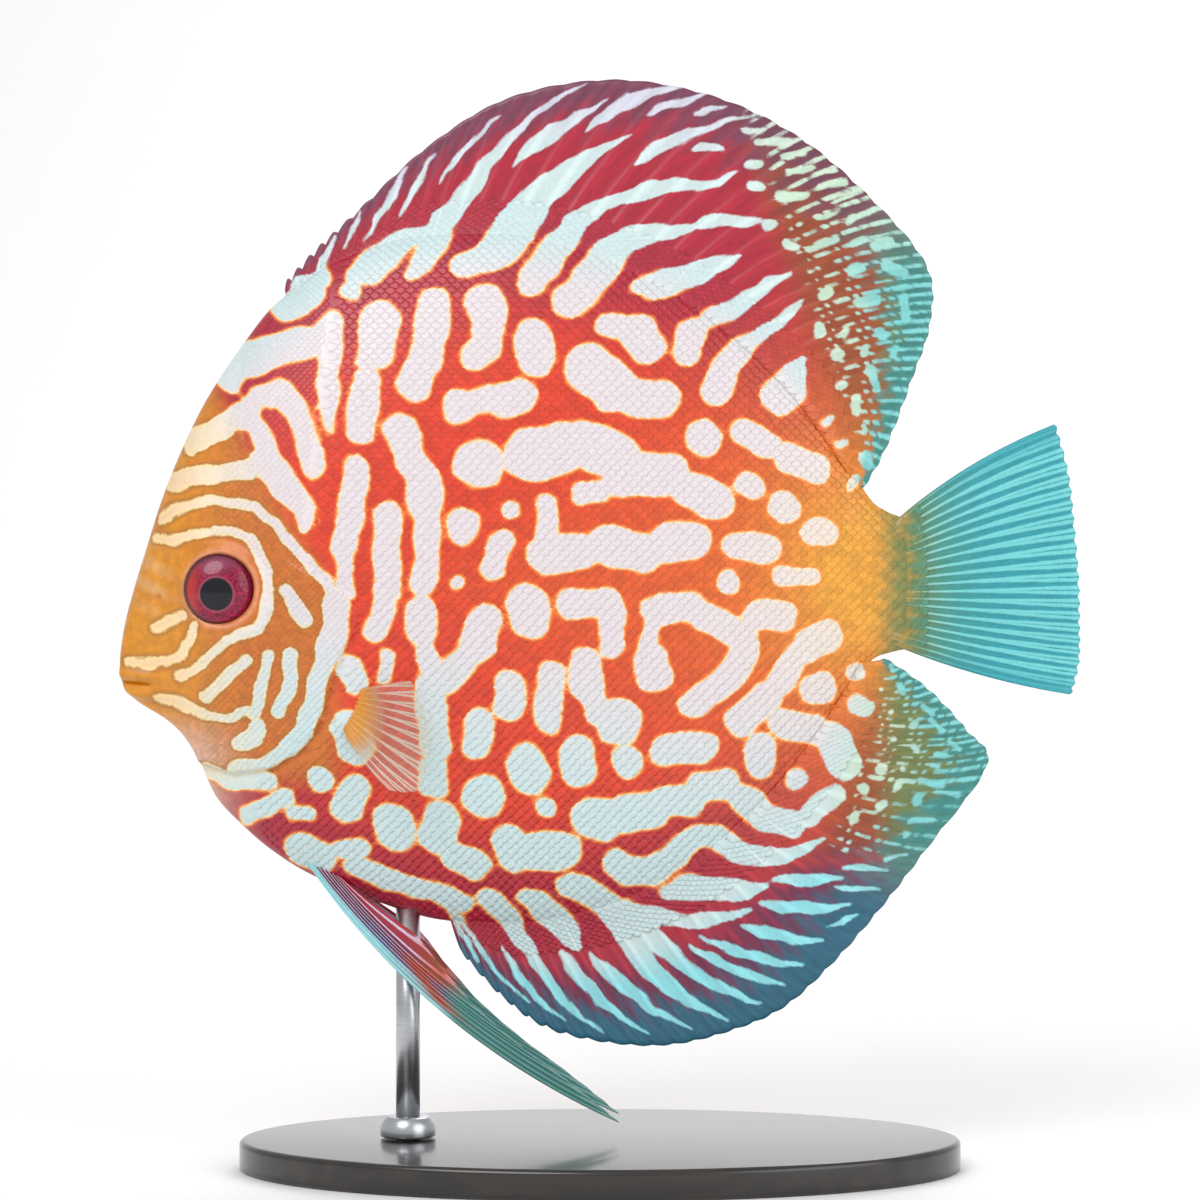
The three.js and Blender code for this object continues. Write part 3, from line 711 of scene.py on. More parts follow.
# %% Shader helpers
class Finish:
    def __init__(self, name, **sockets):
        self.material = bpy.data.materials.new(name)
        self.material.use_nodes = True
        self.tree = self.material.node_tree
        self.shader = self.tree.nodes["Principled BSDF"]
        for socket, value in sockets.items():
            self.shader.inputs[socket.replace("_", " ")].default_value = value

    def node(self, kind, settings=None, **inputs):
        made = self.tree.nodes.new(kind)
        for key, value in (settings or {}).items():
            setattr(made, key, value)
        for key, value in inputs.items():
            self.feed(made.inputs[key.replace("_", " ")], value)
        return made

    def feed(self, socket, value):
        if isinstance(value, bpy.types.NodeSocket):
            self.tree.links.new(value, socket)
        else:
            socket.default_value = value

    def attribute(self, name, output="Fac"):
        return self.node("ShaderNodeAttribute", {"attribute_name": name}).outputs[output]

    def place(self):
        return self.node("ShaderNodeTexCoord").outputs["Object"]

    def noise_at(self, place, scale, detail):
        made = self.node("ShaderNodeTexNoise", Vector=place, Scale=scale, Detail=detail)
        return made.outputs["Fac"]

    def noise(self, scale, detail):
        return self.noise_at(self.place(), scale, detail)

    def stretched_noise(self, scales, detail):
        """Noise with a scale of its own for each of the three directions."""
        stretched = self.node("ShaderNodeMapping", Vector=self.place(), Scale=scales)
        return self.noise_at(stretched.outputs["Vector"], 1.0, detail)

    def cells(self, scale):
        """Distance to the middle of the nearest cell."""
        made = self.node("ShaderNodeTexVoronoi", Vector=self.place(), Scale=scale)
        return made.outputs["Distance"]

    def maths(self, operation, *values):
        made = self.node("ShaderNodeMath", {"operation": operation})
        for socket, value in zip(made.inputs, values):
            self.feed(socket, value)
        return made.outputs[0]

    def ramp(self, value, low, high, to_low=0.0, to_high=1.0):
        made = self.node(
            "ShaderNodeMapRange", {"interpolation_type": "SMOOTHSTEP"}, Value=value,
            From_Min=low, From_Max=high, To_Min=to_low, To_Max=to_high,
        )
        return made.outputs["Result"]

    def mix(self, share, low, high, way="MIX"):
        made = self.node("ShaderNodeMix", {"data_type": "RGBA", "blend_type": way})
        factor = next(s for s in made.inputs if s.identifier == "Factor_Float")
        first = next(s for s in made.inputs if s.identifier == "A_Color")
        second = next(s for s in made.inputs if s.identifier == "B_Color")
        self.feed(factor, share)
        self.feed(first, low)
        self.feed(second, high)
        return next(s for s in made.outputs if s.identifier == "Result_Color")

    def tinted(self, colour, value):
        grey = self.node("ShaderNodeCombineColor", Red=value, Green=value, Blue=value)
        return self.mix(1.0, colour, grey.outputs["Color"], "MULTIPLY")

    def colour(self, value):
        self.feed(self.shader.inputs["Base Color"], value)

    def bump(self, height, distance, strength):
        made = self.node("ShaderNodeBump", Height=height, Distance=distance, Strength=strength)
        self.feed(self.shader.inputs["Normal"], made.outputs["Normal"])


def solid(colour):
    return (*[float(c) for c in colour], 1.0)


# %% [markdown]
# ## Painting the markings
# Every finish of the fish turns the same things into colour: the depth into a marking, the
# ground colour and the island colour. Between ground and island lies a soft halo: a glow
# outside, orange on the body and olive on the cheek, and a cream line inside. It is as strong
# as the number halo says, full on the body and none out on the fins. Pigment sits in small
# patches, so a random number for each patch shifts the edge a little and makes the patch lighter
# or darker.

# %% Ground, halo and island
GRAIN_PER_METRE = 1700.0
INNER_HALO = srgb(1.0, 0.88, 0.62)
GLOW_DEPTHS = -0.55, 0.0
INNER_HALO_DEPTHS = -0.2, 0.14
ISLAND_DEPTHS = -0.06, 0.36
PATCH_SHADES = 0.88, 1.06
GRAIN_SHADES = 0.93, 1.04


def paint_markings(finish, patch, edge_wander):
    grain = finish.noise(GRAIN_PER_METRE, 3.0)
    wander = finish.maths("MULTIPLY_ADD", patch, edge_wander, -edge_wander / 2)
    fine = finish.maths("MULTIPLY_ADD", grain, edge_wander, -edge_wander / 2)
    depth = finish.maths("ADD", finish.maths("ADD", finish.attribute("mark"), wander), fine)
    colour = finish.tinted(finish.attribute("ground", "Color"), finish.ramp(patch, 0, 1, *PATCH_SHADES))
    glow = finish.attribute("glow", "Color")
    for depths, shade in ((GLOW_DEPTHS, glow), (INNER_HALO_DEPTHS, solid(INNER_HALO))):
        share = finish.maths("MULTIPLY", finish.ramp(depth, *depths), finish.attribute("halo"))
        colour = finish.mix(share, colour, shade)
    island = finish.attribute("island", "Color")
    colour = finish.mix(finish.ramp(depth, *ISLAND_DEPTHS), colour, island)
    return finish.tinted(colour, finish.ramp(grain, 0.2, 0.8, *GRAIN_SHADES))


# %% [markdown]
# ## The skin's finish
# Where no scale covers the skin, as on the snout, its pigment is a soft cloud of freckles, and
# small cells at the scales' pitch, about 1.3 mm, give it a low pebbled relief.

# %% Skin finish
CELLS_PER_METRE = 760.0
FRECKLES_PER_METRE = 620.0
WET = dict(Roughness=0.4, Coat_Weight=0.22, Coat_Roughness=0.2)

FLESH = dict(Subsurface_Weight=0.08, Subsurface_Scale=0.002, **WET)

skin_finish = Finish("skin", **FLESH)
freckles = skin_finish.ramp(skin_finish.noise(FRECKLES_PER_METRE, 5.0), 0.3, 0.7)
skin_finish.colour(paint_markings(skin_finish, freckles, edge_wander=0.22))
skin_finish.bump(skin_finish.cells(CELLS_PER_METRE), 0.00006, 0.5)
print("skin finish has", len(skin_finish.tree.nodes), "nodes")

# %% [markdown]
# ## The skin
# The body is a ring loft: at each distance from the snout stands a ring as tall as the body and
# with the cross-section of a lens. The soft forms of the head, such as the eye's rim, the lips,
# the nostrils and the edge of the gill cover, then lift or sink the surface along its normal.

# %% Gill cover's edge and signed distance to a line
GILL_EDGE_PX = [
    (322, 577), (345, 588), (363, 610), (357, 633), (345, 653), (338, 674), (330, 697),
    (322, 725), (304, 750), (274, 768), (233, 774), (198, 764),
]


def side_of_line(points, line):
    """Distance from each point to a line, positive to its right as it runs."""
    nearest = np.full(len(points), np.inf)
    signed = np.zeros(len(points))
    for a, b in zip(line[:-1], line[1:]):
        along = b - a
        offset = points - a
        t = np.clip(offset @ along / (along @ along), 0, 1)
        away = np.hypot(*(offset - t[:, None] * along).T)
        side = np.sign(along[1] * offset[:, 0] - along[0] * offset[:, 1])
        closer = away < nearest
        signed[closer] = (side * away)[closer]
        nearest[closer] = away[closer]
    return signed


gill_edge = from_photo(GILL_EDGE_PX)

# %% Soft forms of the head
EYE_RADIUS = 5.8
NOSTRIL_X, NOSTRIL_Z = 6.9, 0.4
MOUTH_Z, MOUTH_SLOPE, MOUTH_DEPTH = -13.6, 0.09, 5.8
LIP_OFFSET = 1.5
CHEEK_X, CHEEK_Z, CHEEK_REACH = 23, -13, 8


def head_relief(x, z):
    to_eye = from_eye(x, z)
    rim = 0.55 * bell(to_eye - EYE_RADIUS - 0.7, 1.0)
    socket = -3.4 * (1 - ease(to_eye, EYE_RADIUS - 1.6, EYE_RADIUS + 0.25))
    above_mouth = z - (MOUTH_Z - MOUTH_SLOPE * x)
    at_lips = 1 - ease(x, MOUTH_DEPTH - 1, MOUTH_DEPTH + 2)
    lips = 0.8 * (bell(above_mouth - LIP_OFFSET, 1.0) + bell(above_mouth + LIP_OFFSET, 1.0)) * at_lips
    mouth = -0.75 * bell(above_mouth, 0.26) * (1 - ease(x, MOUTH_DEPTH - 1.6, MOUTH_DEPTH + 0.2))
    fold = -0.25 * bell(np.hypot(x - MOUTH_DEPTH - 1.2, above_mouth + 0.4), 0.7)
    to_nostril = np.hypot(x - NOSTRIL_X, z - NOSTRIL_Z)
    nostril = 0.16 * bell(to_nostril - 1.0, 0.35) - 0.8 * bell(to_nostril, 0.5)
    cheek = 0.5 * bell(np.hypot(x - CHEEK_X, z - CHEEK_Z), CHEEK_REACH)
    return rim + socket + lips + mouth + fold + nostril + cheek


def gill_relief(x, z):
    inward = side_of_line(np.c_[x.ravel(), z.ravel()], gill_edge).reshape(x.shape)
    flap = 0.62 * ease(inward, 0, 0.35) * (1 - ease(inward, 1.5, 7.5))
    groove = -0.3 * bell(inward + 0.35, 0.35)
    return flap + groove


# %% Skin surface
SNOUT_CROWDING = 1.3
END_ROUND = 2.4
RIDGE_WIDTH = 1.5
COAT_DEPTH = 0.09


def skin_surface(stations, around):
    x = BODY_LENGTH * (np.arange(1, stations + 1) / stations)[:, None] ** SNOUT_CROWDING
    angle = circle(around)
    z = middle_height(x) + (back(x) - middle_height(x)) * np.sin(angle)
    side = np.sign(np.round(np.cos(angle), 9))
    x = np.broadcast_to(x, z.shape)
    closing = np.sqrt(np.clip((BODY_LENGTH - x) / END_ROUND, 0.03, 1))
    return np.stack([x, side * half_width(x, z) * closing, z], -1)


def unit(vectors):
    return vectors / np.maximum(np.linalg.norm(vectors, axis=-1, keepdims=True), 1e-9)


def lifted(surface, lift):
    """The surface moved out along its normal by a lift for each point."""
    along = np.gradient(surface, axis=0)
    wrapped = np.concatenate([surface[:, -1:], surface, surface[:, :1]], axis=1)
    round_it = (wrapped[:, 2:] - wrapped[:, :-2]) / 2
    normal = unit(np.cross(along, round_it))
    outward = np.sign((normal[..., 1] * surface[..., 1]).sum())
    return surface + outward * normal * lift[..., None]


plain = skin_surface(int(330 * detail), int(760 * detail))
side_x, side_z = plain[..., 0], plain[..., 2]
edge_on = np.minimum(1, np.abs(plain[..., 1]) / RIDGE_WIDTH)
lift = head_relief(side_x, side_z) + gill_relief(side_x, side_z) * (side_x > 8) - COAT_DEPTH
skin_grid = lifted(plain, lift * edge_on * np.minimum(1, side_x / 0.8))
print("skin grid", skin_grid.shape, "lift from", round(lift.min(), 2), "to", round(lift.max(), 2), "mm")


# %% Skin mesh
snout_tip = skin_grid[0].mean(0) * [0, 1, 1]
skin_points, skin_faces = capped_loft(skin_grid, snout_tip, skin_grid[-1].mean(0))
skin = new_piece(
    "skin", skin_points, skin_faces, skin_finish.material,
    ["head", "trunk", "tail_root", "gill_cover_left", "gill_cover_right"],
)
flat = skin_points[:, [0, 2]]
add_markings(skin, flat, markings(flat), np.ones(len(flat)), *body_colours(*flat.T))

# %% [markdown]
# ## The coat of scales
# A discus has about 55 small scales in a row from its gill cover to its tail. Each is a thin
# shield whose front is sunk in the skin and whose rear edge stands up by a tenth of a millimetre
# over the next. A texture could only pretend this, so every scale is mesh: one small disc of
# rings, copied by array arithmetic to thousands of places and joined into a few pieces.
# To place them evenly, the flank is first unrolled into a table of distance back from the snout
# and distance up from the body's axis, measured over the curved skin.

# %% The flank unrolled
TABLE_STEP = 0.25
TABLE_START = 6.0
TABLE_REACH = 68.0
LEAN_STEPS = 801
table_x = np.arange(TABLE_START, BODY_LENGTH, TABLE_STEP)
table_up = np.arange(-TABLE_REACH, TABLE_REACH, TABLE_STEP)


def table_normals(places):
    along, up = np.gradient(places, axis=0), np.gradient(places, axis=1)
    return unit(np.cross(up, along))


def flank_table():
    """Place and normal for each row and height of the table, and the height where a row ends."""
    lean = np.linspace(-np.pi / 2, np.pi / 2, LEAN_STEPS)
    places = np.empty((len(table_x), len(table_up), 3))
    ends = np.empty((len(table_x), 2))
    for row, x in enumerate(table_x):
        z = middle_height(x) + (back(x) - middle_height(x)) * np.sin(lean)
        y = half_width(x, z)
        travelled = np.r_[0, np.cumsum(np.hypot(np.diff(y), np.diff(z)))]
        travelled -= np.interp(0, z, travelled)
        over = [np.interp(table_up, travelled, column) for column in (y, z)]
        places[row] = np.stack([x + 0 * table_up, *over], -1)
        ends[row] = travelled[[0, -1]]
    side_x, side_z = places[..., 0], places[..., 2]
    relief = head_relief(side_x, side_z) + gill_relief(side_x, side_z) - COAT_DEPTH
    relief *= np.minimum(1, places[..., 1] / RIDGE_WIDTH)
    places += table_normals(places) * relief[..., None]
    return places, table_normals(places), ends


flank_places, flank_normals, flank_ends = flank_table()
print("flank table", flank_places.shape, "outward share", round(float((flank_normals[..., 1] > 0).mean()), 2))


def on_flank(x, up):
    """Place and normal at a distance back and a distance up the unrolled flank."""
    i = np.clip((x - table_x[0]) / TABLE_STEP, 0, len(table_x) - 1.001)
    j = np.clip((up - table_up[0]) / TABLE_STEP, 0, len(table_up) - 1.001)
    a, b = i.astype(int), j.astype(int)
    u, v = (i - a)[..., None], (j - b)[..., None]
    low, high = 1 - v, v
    return [
        (table[a, b] * low + table[a, b + 1] * high) * (1 - u)
        + (table[a + 1, b] * low + table[a + 1, b + 1] * high) * u
        for table in (flank_places, flank_normals)
    ]


# %% Where the scales grow
TRUNK_PITCH, TRUNK_RISE = 1.7, 0.88
CHEEK_PITCH, CHEEK_RISE = 1.15, 0.6
NAPE_START = 30.0
RIDGE_GAP = 0.45
EYE_GAP = 2.6
PECTORAL_X, PECTORAL_Z, PECTORAL_GAP = 38.4, -18, 3.2


def scale_roots(pitch, rise):
    """Staggered rows over the whole flank, clear of the back's and the belly's ridge."""
    ups = np.arange(-TABLE_REACH, TABLE_REACH, rise)
    x, up = np.meshgrid(np.arange(TABLE_START + 3, BODY_LENGTH - 1, pitch), ups, indexing="ij")
    x = x + pitch / 2 * (np.arange(len(ups)) % 2)
    x, up = x.ravel(), up.ravel()
    low, high = [np.interp(x, table_x, end) for end in flank_ends.T]
    inside = (up > low + RIDGE_GAP) & (up < high - RIDGE_GAP)
    return x[inside], up[inside]


def behind_head(x, z):
    """Distance behind the gill cover below, and behind the nape's first row above."""
    inward = side_of_line(np.c_[x, z], gill_edge)
    return np.where(z < 3, -inward, x - NAPE_START - 0.1 * z)


def grows(x, z, on_trunk):
    """Where the trunk's scales or the head's stand, seen from the side."""
    behind = behind_head(x, z)
    if on_trunk:
        off_pectoral = np.hypot(x - PECTORAL_X, z - PECTORAL_Z) > PECTORAL_GAP
        return (behind > 0.7) & ((x > 34) | (z > 3) | (z < -20)) & off_pectoral & (x > 22)
    off_forehead = x > 14 + 0.16 * np.maximum(z, 0)
    off_eye = from_eye(x, z) > EYE_RADIUS + EYE_GAP
    return (behind < -0.5) & off_eye & off_forehead & (z > -28)


# %% A coat of scales as joined meshes
SEGMENTS = max(6, int(10 * detail))
SCALE_RISE = COAT_DEPTH
SCALE_SINK = 0.4
SKIRT_DEPTH = 0.8
SCALE_LENGTH, SCALE_HEIGHT = 0.95, 1.02
JITTER = 0.18
TILT = 0.3
PATCH = 0.003
coat_random = np.random.default_rng(7)


def scale_rings():
    """Local places on one scale: share rearward, share upward, and how sunk its foot is."""
    turn = circle(SEGMENTS)
    rear, high = np.cos(turn), np.sin(turn)
    rings = [(0.68, 0.0), (1.0, 0.0), (1.02, 1.0)]
    rows = [[0.0, 0.0, 0.0]]
    for reach, sunk in rings:
        rows += np.stack([reach * rear, reach * high, sunk + 0 * rear], -1).tolist()
    faces = []
    for k in range(SEGMENTS):
        after = (k + 1) % SEGMENTS
        faces.append([0, 1 + k, 1 + after, -1])
        for ring in range(2):
            a, b = 1 + ring * SEGMENTS, 1 + (ring + 1) * SEGMENTS
            faces.append([a + k, b + k, b + after, a + after])
    return np.array(rows), faces


scale_shape, scale_faces = scale_rings()
print("one scale has", len(scale_shape), "points and", len(scale_faces), "faces")


# %% All the scales of a piece, joined
def joined_faces(count, side):
    """Corner lists of all the scales of a piece, wound to face outward on either side."""
    faces = np.array(scale_faces)
    start = np.arange(count)[:, None, None] * len(scale_shape)
    joined = np.where(faces < 0, -1, faces + start).reshape(-1, 4)
    if side < 0:
        joined = np.where(joined[:, 3:] < 0, joined[:, [0, 2, 1, 3]], joined[:, ::-1])
    return [row[:3] if row[3] < 0 else row for row in joined.tolist()]


def unwrap_scales(piece, x, up):
    """A small patch of the unwrap for each scale, laid out as the scales' roots are."""
    rear, high, _ = scale_shape.T
    root = np.stack([x / BODY_LENGTH, (up + TABLE_REACH) / (2 * TABLE_REACH)], -1) * 0.96 + 0.02
    spots = root[:, None] + PATCH / 2 * np.stack([rear, high], -1)
    index = np.empty(len(piece.data.loops), int)
    piece.data.loops.foreach_get("vertex_index", index)
    unwrap = piece.data.uv_layers.new(name="OFBake")
    unwrap.data.foreach_set("uv", spots.reshape(-1, 2)[index].astype(np.float32).ravel())


def body_paint(flat, centre, out):
    """Mark, halo, ground and island of each point; a fin's paint also reads how far out it is."""
    mark = 0.85 * markings(flat) + 0.15 * markings(centre)
    return mark, np.ones(len(flat)), *body_colours(*flat.T)


# %% A coat of scales on a surface
def coat_piece(name, side, x, up, pitch, rise, surface=on_flank, paint=body_paint):
    """One mesh of scales whose roots stand at x and up on a surface."""
    own = coat_random.random((len(x), 3))
    x = x + pitch * JITTER * (coat_random.random(len(x)) - 0.5)
    up = up + rise * JITTER * (coat_random.random(len(up)) - 0.5)
    rear, high, sunk = scale_shape.T
    at_x = x[:, None] + pitch * SCALE_LENGTH * rear
    at_up = up[:, None] + rise * SCALE_HEIGHT * high
    places, normals = surface(at_x, at_up)
    tilt = TILT * ((own[:, :1] - 0.5) * rear + (own[:, 1:2] - 0.5) * high)
    height = -SCALE_SINK + (1 + SCALE_SINK) * (rear + 1) / 2 - 0.35 * high**2 + tilt
    height = SCALE_RISE * (pitch / TRUNK_PITCH) * np.where(sunk > 0, -SKIRT_DEPTH, height)
    points = (places + normals * height[..., None]).reshape(-1, 3) * [1, side, 1]
    piece = new_piece(name, points, joined_faces(len(x), side), coat_finish.material)
    flat = points[:, [0, 2]]
    centre = surface(x, up)[0][:, [0, 2]].repeat(len(scale_shape), axis=0)
    add_markings(piece, flat, *paint(flat, centre, at_x.ravel()))
    add_number(piece, "own", own[:, 2].repeat(len(scale_shape)))
    # rim: how near each point lies to its scale's exposed edge, which the finish darkens as a painted shade.
    add_number(piece, "rim", np.tile(np.hypot(rear, high) * (rear > -0.3), len(x)))
    unwrap_scales(piece, x, up)


# %% Finish of the coat
# Painted shade: the exposed rim of each scale, where it steps down onto the next, is darkened a little.
RIM_PAINTED_SHADE = 0.97
GROOVES_PER_METRE = 2600.0

coat_finish = Finish("scales", **FLESH)
coat_colour = paint_markings(coat_finish, coat_finish.attribute("own"), edge_wander=0.1)
# Painted shade: each scale darkens a little towards its exposed rim.
coat_painted_shade = coat_finish.ramp(coat_finish.attribute("rim"), 0.7, 1.0, 1.0, RIM_PAINTED_SHADE)
coat_finish.colour(coat_finish.tinted(coat_colour, coat_painted_shade))
coat_finish.bump(coat_finish.noise(GROOVES_PER_METRE, 2.0), 0.00003, 0.4)
print("coat finish has", len(coat_finish.tree.nodes), "nodes")

# %% Coats of the trunk and the head
scale_count = 0
for word, side in SIDES:
    for region, pitch, rise, on_trunk in (
        ("trunk", TRUNK_PITCH, TRUNK_RISE, True), ("head", CHEEK_PITCH, CHEEK_RISE, False),
    ):
        x, up = scale_roots(pitch, rise)
        centre, _ = on_flank(x, up)
        here = grows(centre[:, 0], centre[:, 2], on_trunk)
        halves = (("upper", up > 0), ("lower", up <= 0)) if on_trunk else (("all", up == up),)
        for half, part in halves:
            chosen = here & part
            scale_count += int(chosen.sum())
            coat_piece(f"scales_{region}_{half}_{word}", side, x[chosen], up[chosen], pitch, rise)
print(scale_count, "scales")

# %% [markdown]
# ## Fins
# A fin is a sheet of membrane held up by rays. Seen from the side, each ray runs from its root
# in the body to its tip on the margin, with a slight bend. The sheet is a grid whose columns
# run along the rays: it is thick over a ray and thin between two, each ray forks once on the
# way out, and the margin is drawn in a little between the rays.


# %% A smooth line through the roots or tips of named rays
def ray_line(places):
    """Catmull-Rom line through [x, z] places, as a function of s from 0 to 1."""
    knots = np.array(places, float)

    def at(s):
        spot = np.clip(np.asarray(s) * (len(knots) - 1), 0, len(knots) - 1)
        i = np.minimum(spot.astype(int), len(knots) - 2)
        t = (spot - i)[..., None]
        p0, p1 = knots[np.maximum(i - 1, 0)], knots[i]
        p2, p3 = knots[i + 1], knots[np.minimum(i + 2, len(knots) - 1)]
        v0, v1 = (p2 - p0) / 2, (p3 - p1) / 2
        cubic = (2 * p1 - 2 * p2 + v0 + v1) * t**3 + (-3 * p1 + 3 * p2 - 2 * v0 - v1) * t**2
        return cubic + v0 * t + p1

    return at


# %% A fin's grid
MEMBRANE = 0.26


def fin_grid(shape, s, t):
    """Places [x, z] on a fin seen from the side."""
    root, tip = shape["root"](s), shape["tip"](s)
    across = np.stack([root[..., 1] - tip[..., 1], tip[..., 0] - root[..., 0]], -1)
    t = t[..., None]
    return root + (tip - root) * t + across * (shape["bow"](s)[..., None] * 4 * t * (1 - t))


def ray_height(phase, t, fork, narrow):
    """0 on the membrane and 1 on the crest of a ray, for the share of the way across a ray."""
    apart = 0.2 * ease(t, fork, 1)
    return np.maximum(bell(phase - 0.5 - apart, narrow), bell(phase - 0.5 + apart, narrow))


def fin_piece(name, shape, finish, replaced):
    """A fin's piece, with its points seen from the side and their s and t."""
    rays = shape["rays"]
    across = max(4, int(shape.get("across", 10) * detail))
    columns, rows = rays * across + 1, int(shape["rows"] * detail) + 1
    s = np.linspace(0, 1, columns)[:, None] * np.ones(rows)
    phase = (s * rays) % 1
    phase[-1] = 1
    length = np.linalg.norm(shape["root"](s) - shape["tip"](s), axis=-1)
    notch = np.minimum(0.3, shape["notch"](s) / length) * np.abs(2 * phase - 1) ** 1.5
    t = np.linspace(0, 1, rows)[None, :] * (1 - notch)
    side_view = fin_grid(shape, s, t)
    ray = ray_height(phase, t, shape.get("fork", 0.45), shape.get("narrow", 0.16))
    half = shape["half"](s, t) + shape["ridge"] * ray * (1 - 0.75 * t**3)
    half *= 1 - 0.6 * ease(t / (1 - notch), 0.96, 1)
    lateral = shape["lateral"](s, t) + shape.get("ripple", 0) * np.sin(shape.get("waves", 9) * s * 2) * t
    points = np.vstack([
        np.stack([side_view[..., 0], y, side_view[..., 1]], -1).reshape(-1, 3)
        for y in (lateral - half, lateral + half)
    ])
    count = columns * rows
    faces = grid_faces(columns, rows).tolist()
    faces += grid_faces(columns, rows, count)[:, ::-1].tolist()
    border = np.r_[
        np.arange(rows), np.arange(1, columns) * rows + rows - 1,
        (columns - 1) * rows + np.arange(rows - 2, -1, -1), np.arange(columns - 2, 0, -1) * rows,
    ]
    following = np.roll(border, -1)
    faces += np.stack([border, following, following + count, border + count], -1).tolist()
    piece = new_piece(name, points, faces, finish.material, replaced)
    ray, s, t = [np.tile(values.ravel(), 2) for values in (ray, s, t)]
    for word, values in (("ray", ray), ("along", t), ("spread", s)):
        add_number(piece, word, values)
    return piece, np.tile(side_view.reshape(-1, 2), (2, 1)), s, t


# %% [markdown]
# ## The fins' finishes
# A fin has no scales. Its pigment lies in fine streaks along the rays, so the random number comes
# from noise that is stretched along each ray, and the membrane is a little darker than the rays.
# The pectoral fins are nearly clear, and only their rays show.

# %% Fin finishes
STREAKS_ACROSS = 160.0
STREAKS_ALONG = 9.0
RAY_SHADE = 1.06


def rayed_finish(name, edge_wander, membrane_shade, **sockets):
    finish = Finish(name, **sockets)
    across = finish.maths("MULTIPLY", finish.attribute("spread"), STREAKS_ACROSS)
    along = finish.maths("MULTIPLY", finish.attribute("along"), STREAKS_ALONG)
    on_fin = finish.node("ShaderNodeCombineXYZ", X=across, Y=along).outputs["Vector"]
    streak = finish.noise_at(on_fin, 1.0, 2.0)
    colour = paint_markings(finish, finish.ramp(streak, 0.25, 0.75), edge_wander)
    shade = finish.ramp(finish.attribute("ray"), 0, 1, membrane_shade, RAY_SHADE)
    finish.colour(finish.tinted(colour, shade))
    finish.bump(streak, 0.00004, 0.5)
    return finish


fin_finish = rayed_finish("fin", 0.22, 0.92, **WET)
tail_finish = rayed_finish("tail_fin", 0.2, 0.9, **WET)
clear_finish = rayed_finish("clear_fin", 0.1, 0.95, Roughness=0.3, Coat_Weight=0.2)
see_through = clear_finish.maths(
    "MAXIMUM",
    clear_finish.ramp(clear_finish.attribute("ray"), 0.3, 1.0, 0.12, 0.5),
    clear_finish.ramp(clear_finish.attribute("along"), 0.1, 0.6, 0.85, 0.0),
)
clear_finish.feed(clear_finish.shader.inputs["Alpha"], see_through)
print("fin, tail and clear fin finishes made")


# %% Dorsal fin
ROOT_DEPTH = 2.4
ROOT_SWELL = 1.3
USUAL_RAY = 27.0
SWELL_REACH = 3.2


def fairing(t):
    """Half a fin's thickness: flesh at its foot that thins out into the membrane."""
    return MEMBRANE + ROOT_SWELL * np.exp(-t * USUAL_RAY / SWELL_REACH)


def even(first, last):
    return lambda s: first + (last - first) * s


DORSAL_RAYS = [
    [28, 27.4, 53], [32.5, 32.6, 58.6], [38, 39.6, 65], [45.5, 51.5, 75.8], [54.5, 65, 83.8],
    [64.5, 82, 86.8], [75, 98.5, 84.2], [85, 112.6, 77.6], [94, 124.6, 67.6], [101.5, 134.4, 56],
    [108, 135.2, 46.5], [113.5, 132, 36.5], [118, 127.4, 24.5], [121, 122.6, 16.4],
]
dorsal_shape = {
    "rays": 40, "rows": 64, "ridge": 0.2, "ripple": 0.2,
    "root": ray_line([[x, float(back(x)) - ROOT_DEPTH] for x, _, _ in DORSAL_RAYS]),
    "tip": ray_line([[x, z] for _, x, z in DORSAL_RAYS]),
    "bow": even(0.02, 0.09),
    "lateral": lambda s, t: 0 * s,
    "half": lambda s, t: fairing(t),
    "notch": lambda s: 0.3 + 0.9 * (1 - ease(s, 0.06, 0.3)),
}
dorsal, dorsal_side, dorsal_s, dorsal_t = fin_piece(
    "dorsal_fin", dorsal_shape, fin_finish, ["dorsal_fin_front", "dorsal_fin_rear"]
)

# %% Anal fin
ANAL_RAYS = [
    [54.5, 57, -59], [58, 63.6, -66.2], [63, 71, -71.4], [69, 81, -73.8], [76, 91.4, -74.2],
    [83.5, 101.4, -72], [91, 110.6, -68], [97.5, 119, -60.4], [103.5, 127, -51.2],
    [109, 134.6, -41.4], [114, 144.6, -27.6], [118, 141.2, -21.6], [121, 134.6, -14.6],
    [123.6, 127.6, -9.6],
]
anal_shape = dict(
    dorsal_shape,
    rays=38,
    root=ray_line([[x, float(belly(x)) + ROOT_DEPTH] for x, _, _ in ANAL_RAYS]),
    tip=ray_line([[x, z] for _, x, z in ANAL_RAYS]),
    bow=even(-0.02, -0.09),
)
anal, anal_side, anal_s, anal_t = fin_piece(
    "anal_fin", anal_shape, fin_finish, ["anal_fin_front", "anal_fin_rear"]
)

# %% [markdown]
# ## The tail fin
# The tail is a fan of 22 rays that fork early. It is stout at its root, where the body's flesh
# runs out into it, and thin at the margin.

# %% Tail fin
TAIL_TIPS = [[156, 29.4], [158, 22], [159, 14], [159.8, 5], [160, -3], [160, -10], [158.6, -15.8]]
tail_top, tail_foot = float(back(BODY_LENGTH)) - 0.7, float(belly(BODY_LENGTH)) + 0.7
tail_shape = {
    "rays": 22, "rows": 72, "ridge": 0.22, "ripple": 0.25, "across": 12, "fork": 0.25,
    "root": ray_line([
        [BODY_LENGTH - ROOT_DEPTH, tail_top + (tail_foot - tail_top) * k / 4] for k in range(5)
    ]),
    "tip": ray_line(TAIL_TIPS),
    "bow": even(0.045, -0.03),
    "lateral": lambda s, t: 0 * s,
    "half": lambda s, t: MEMBRANE + 1.7 * np.sqrt(np.maximum(0, 4 * s * (1 - s))) * (1 - t) ** 4,
    "notch": lambda s: 0.4 + 0 * s,
}
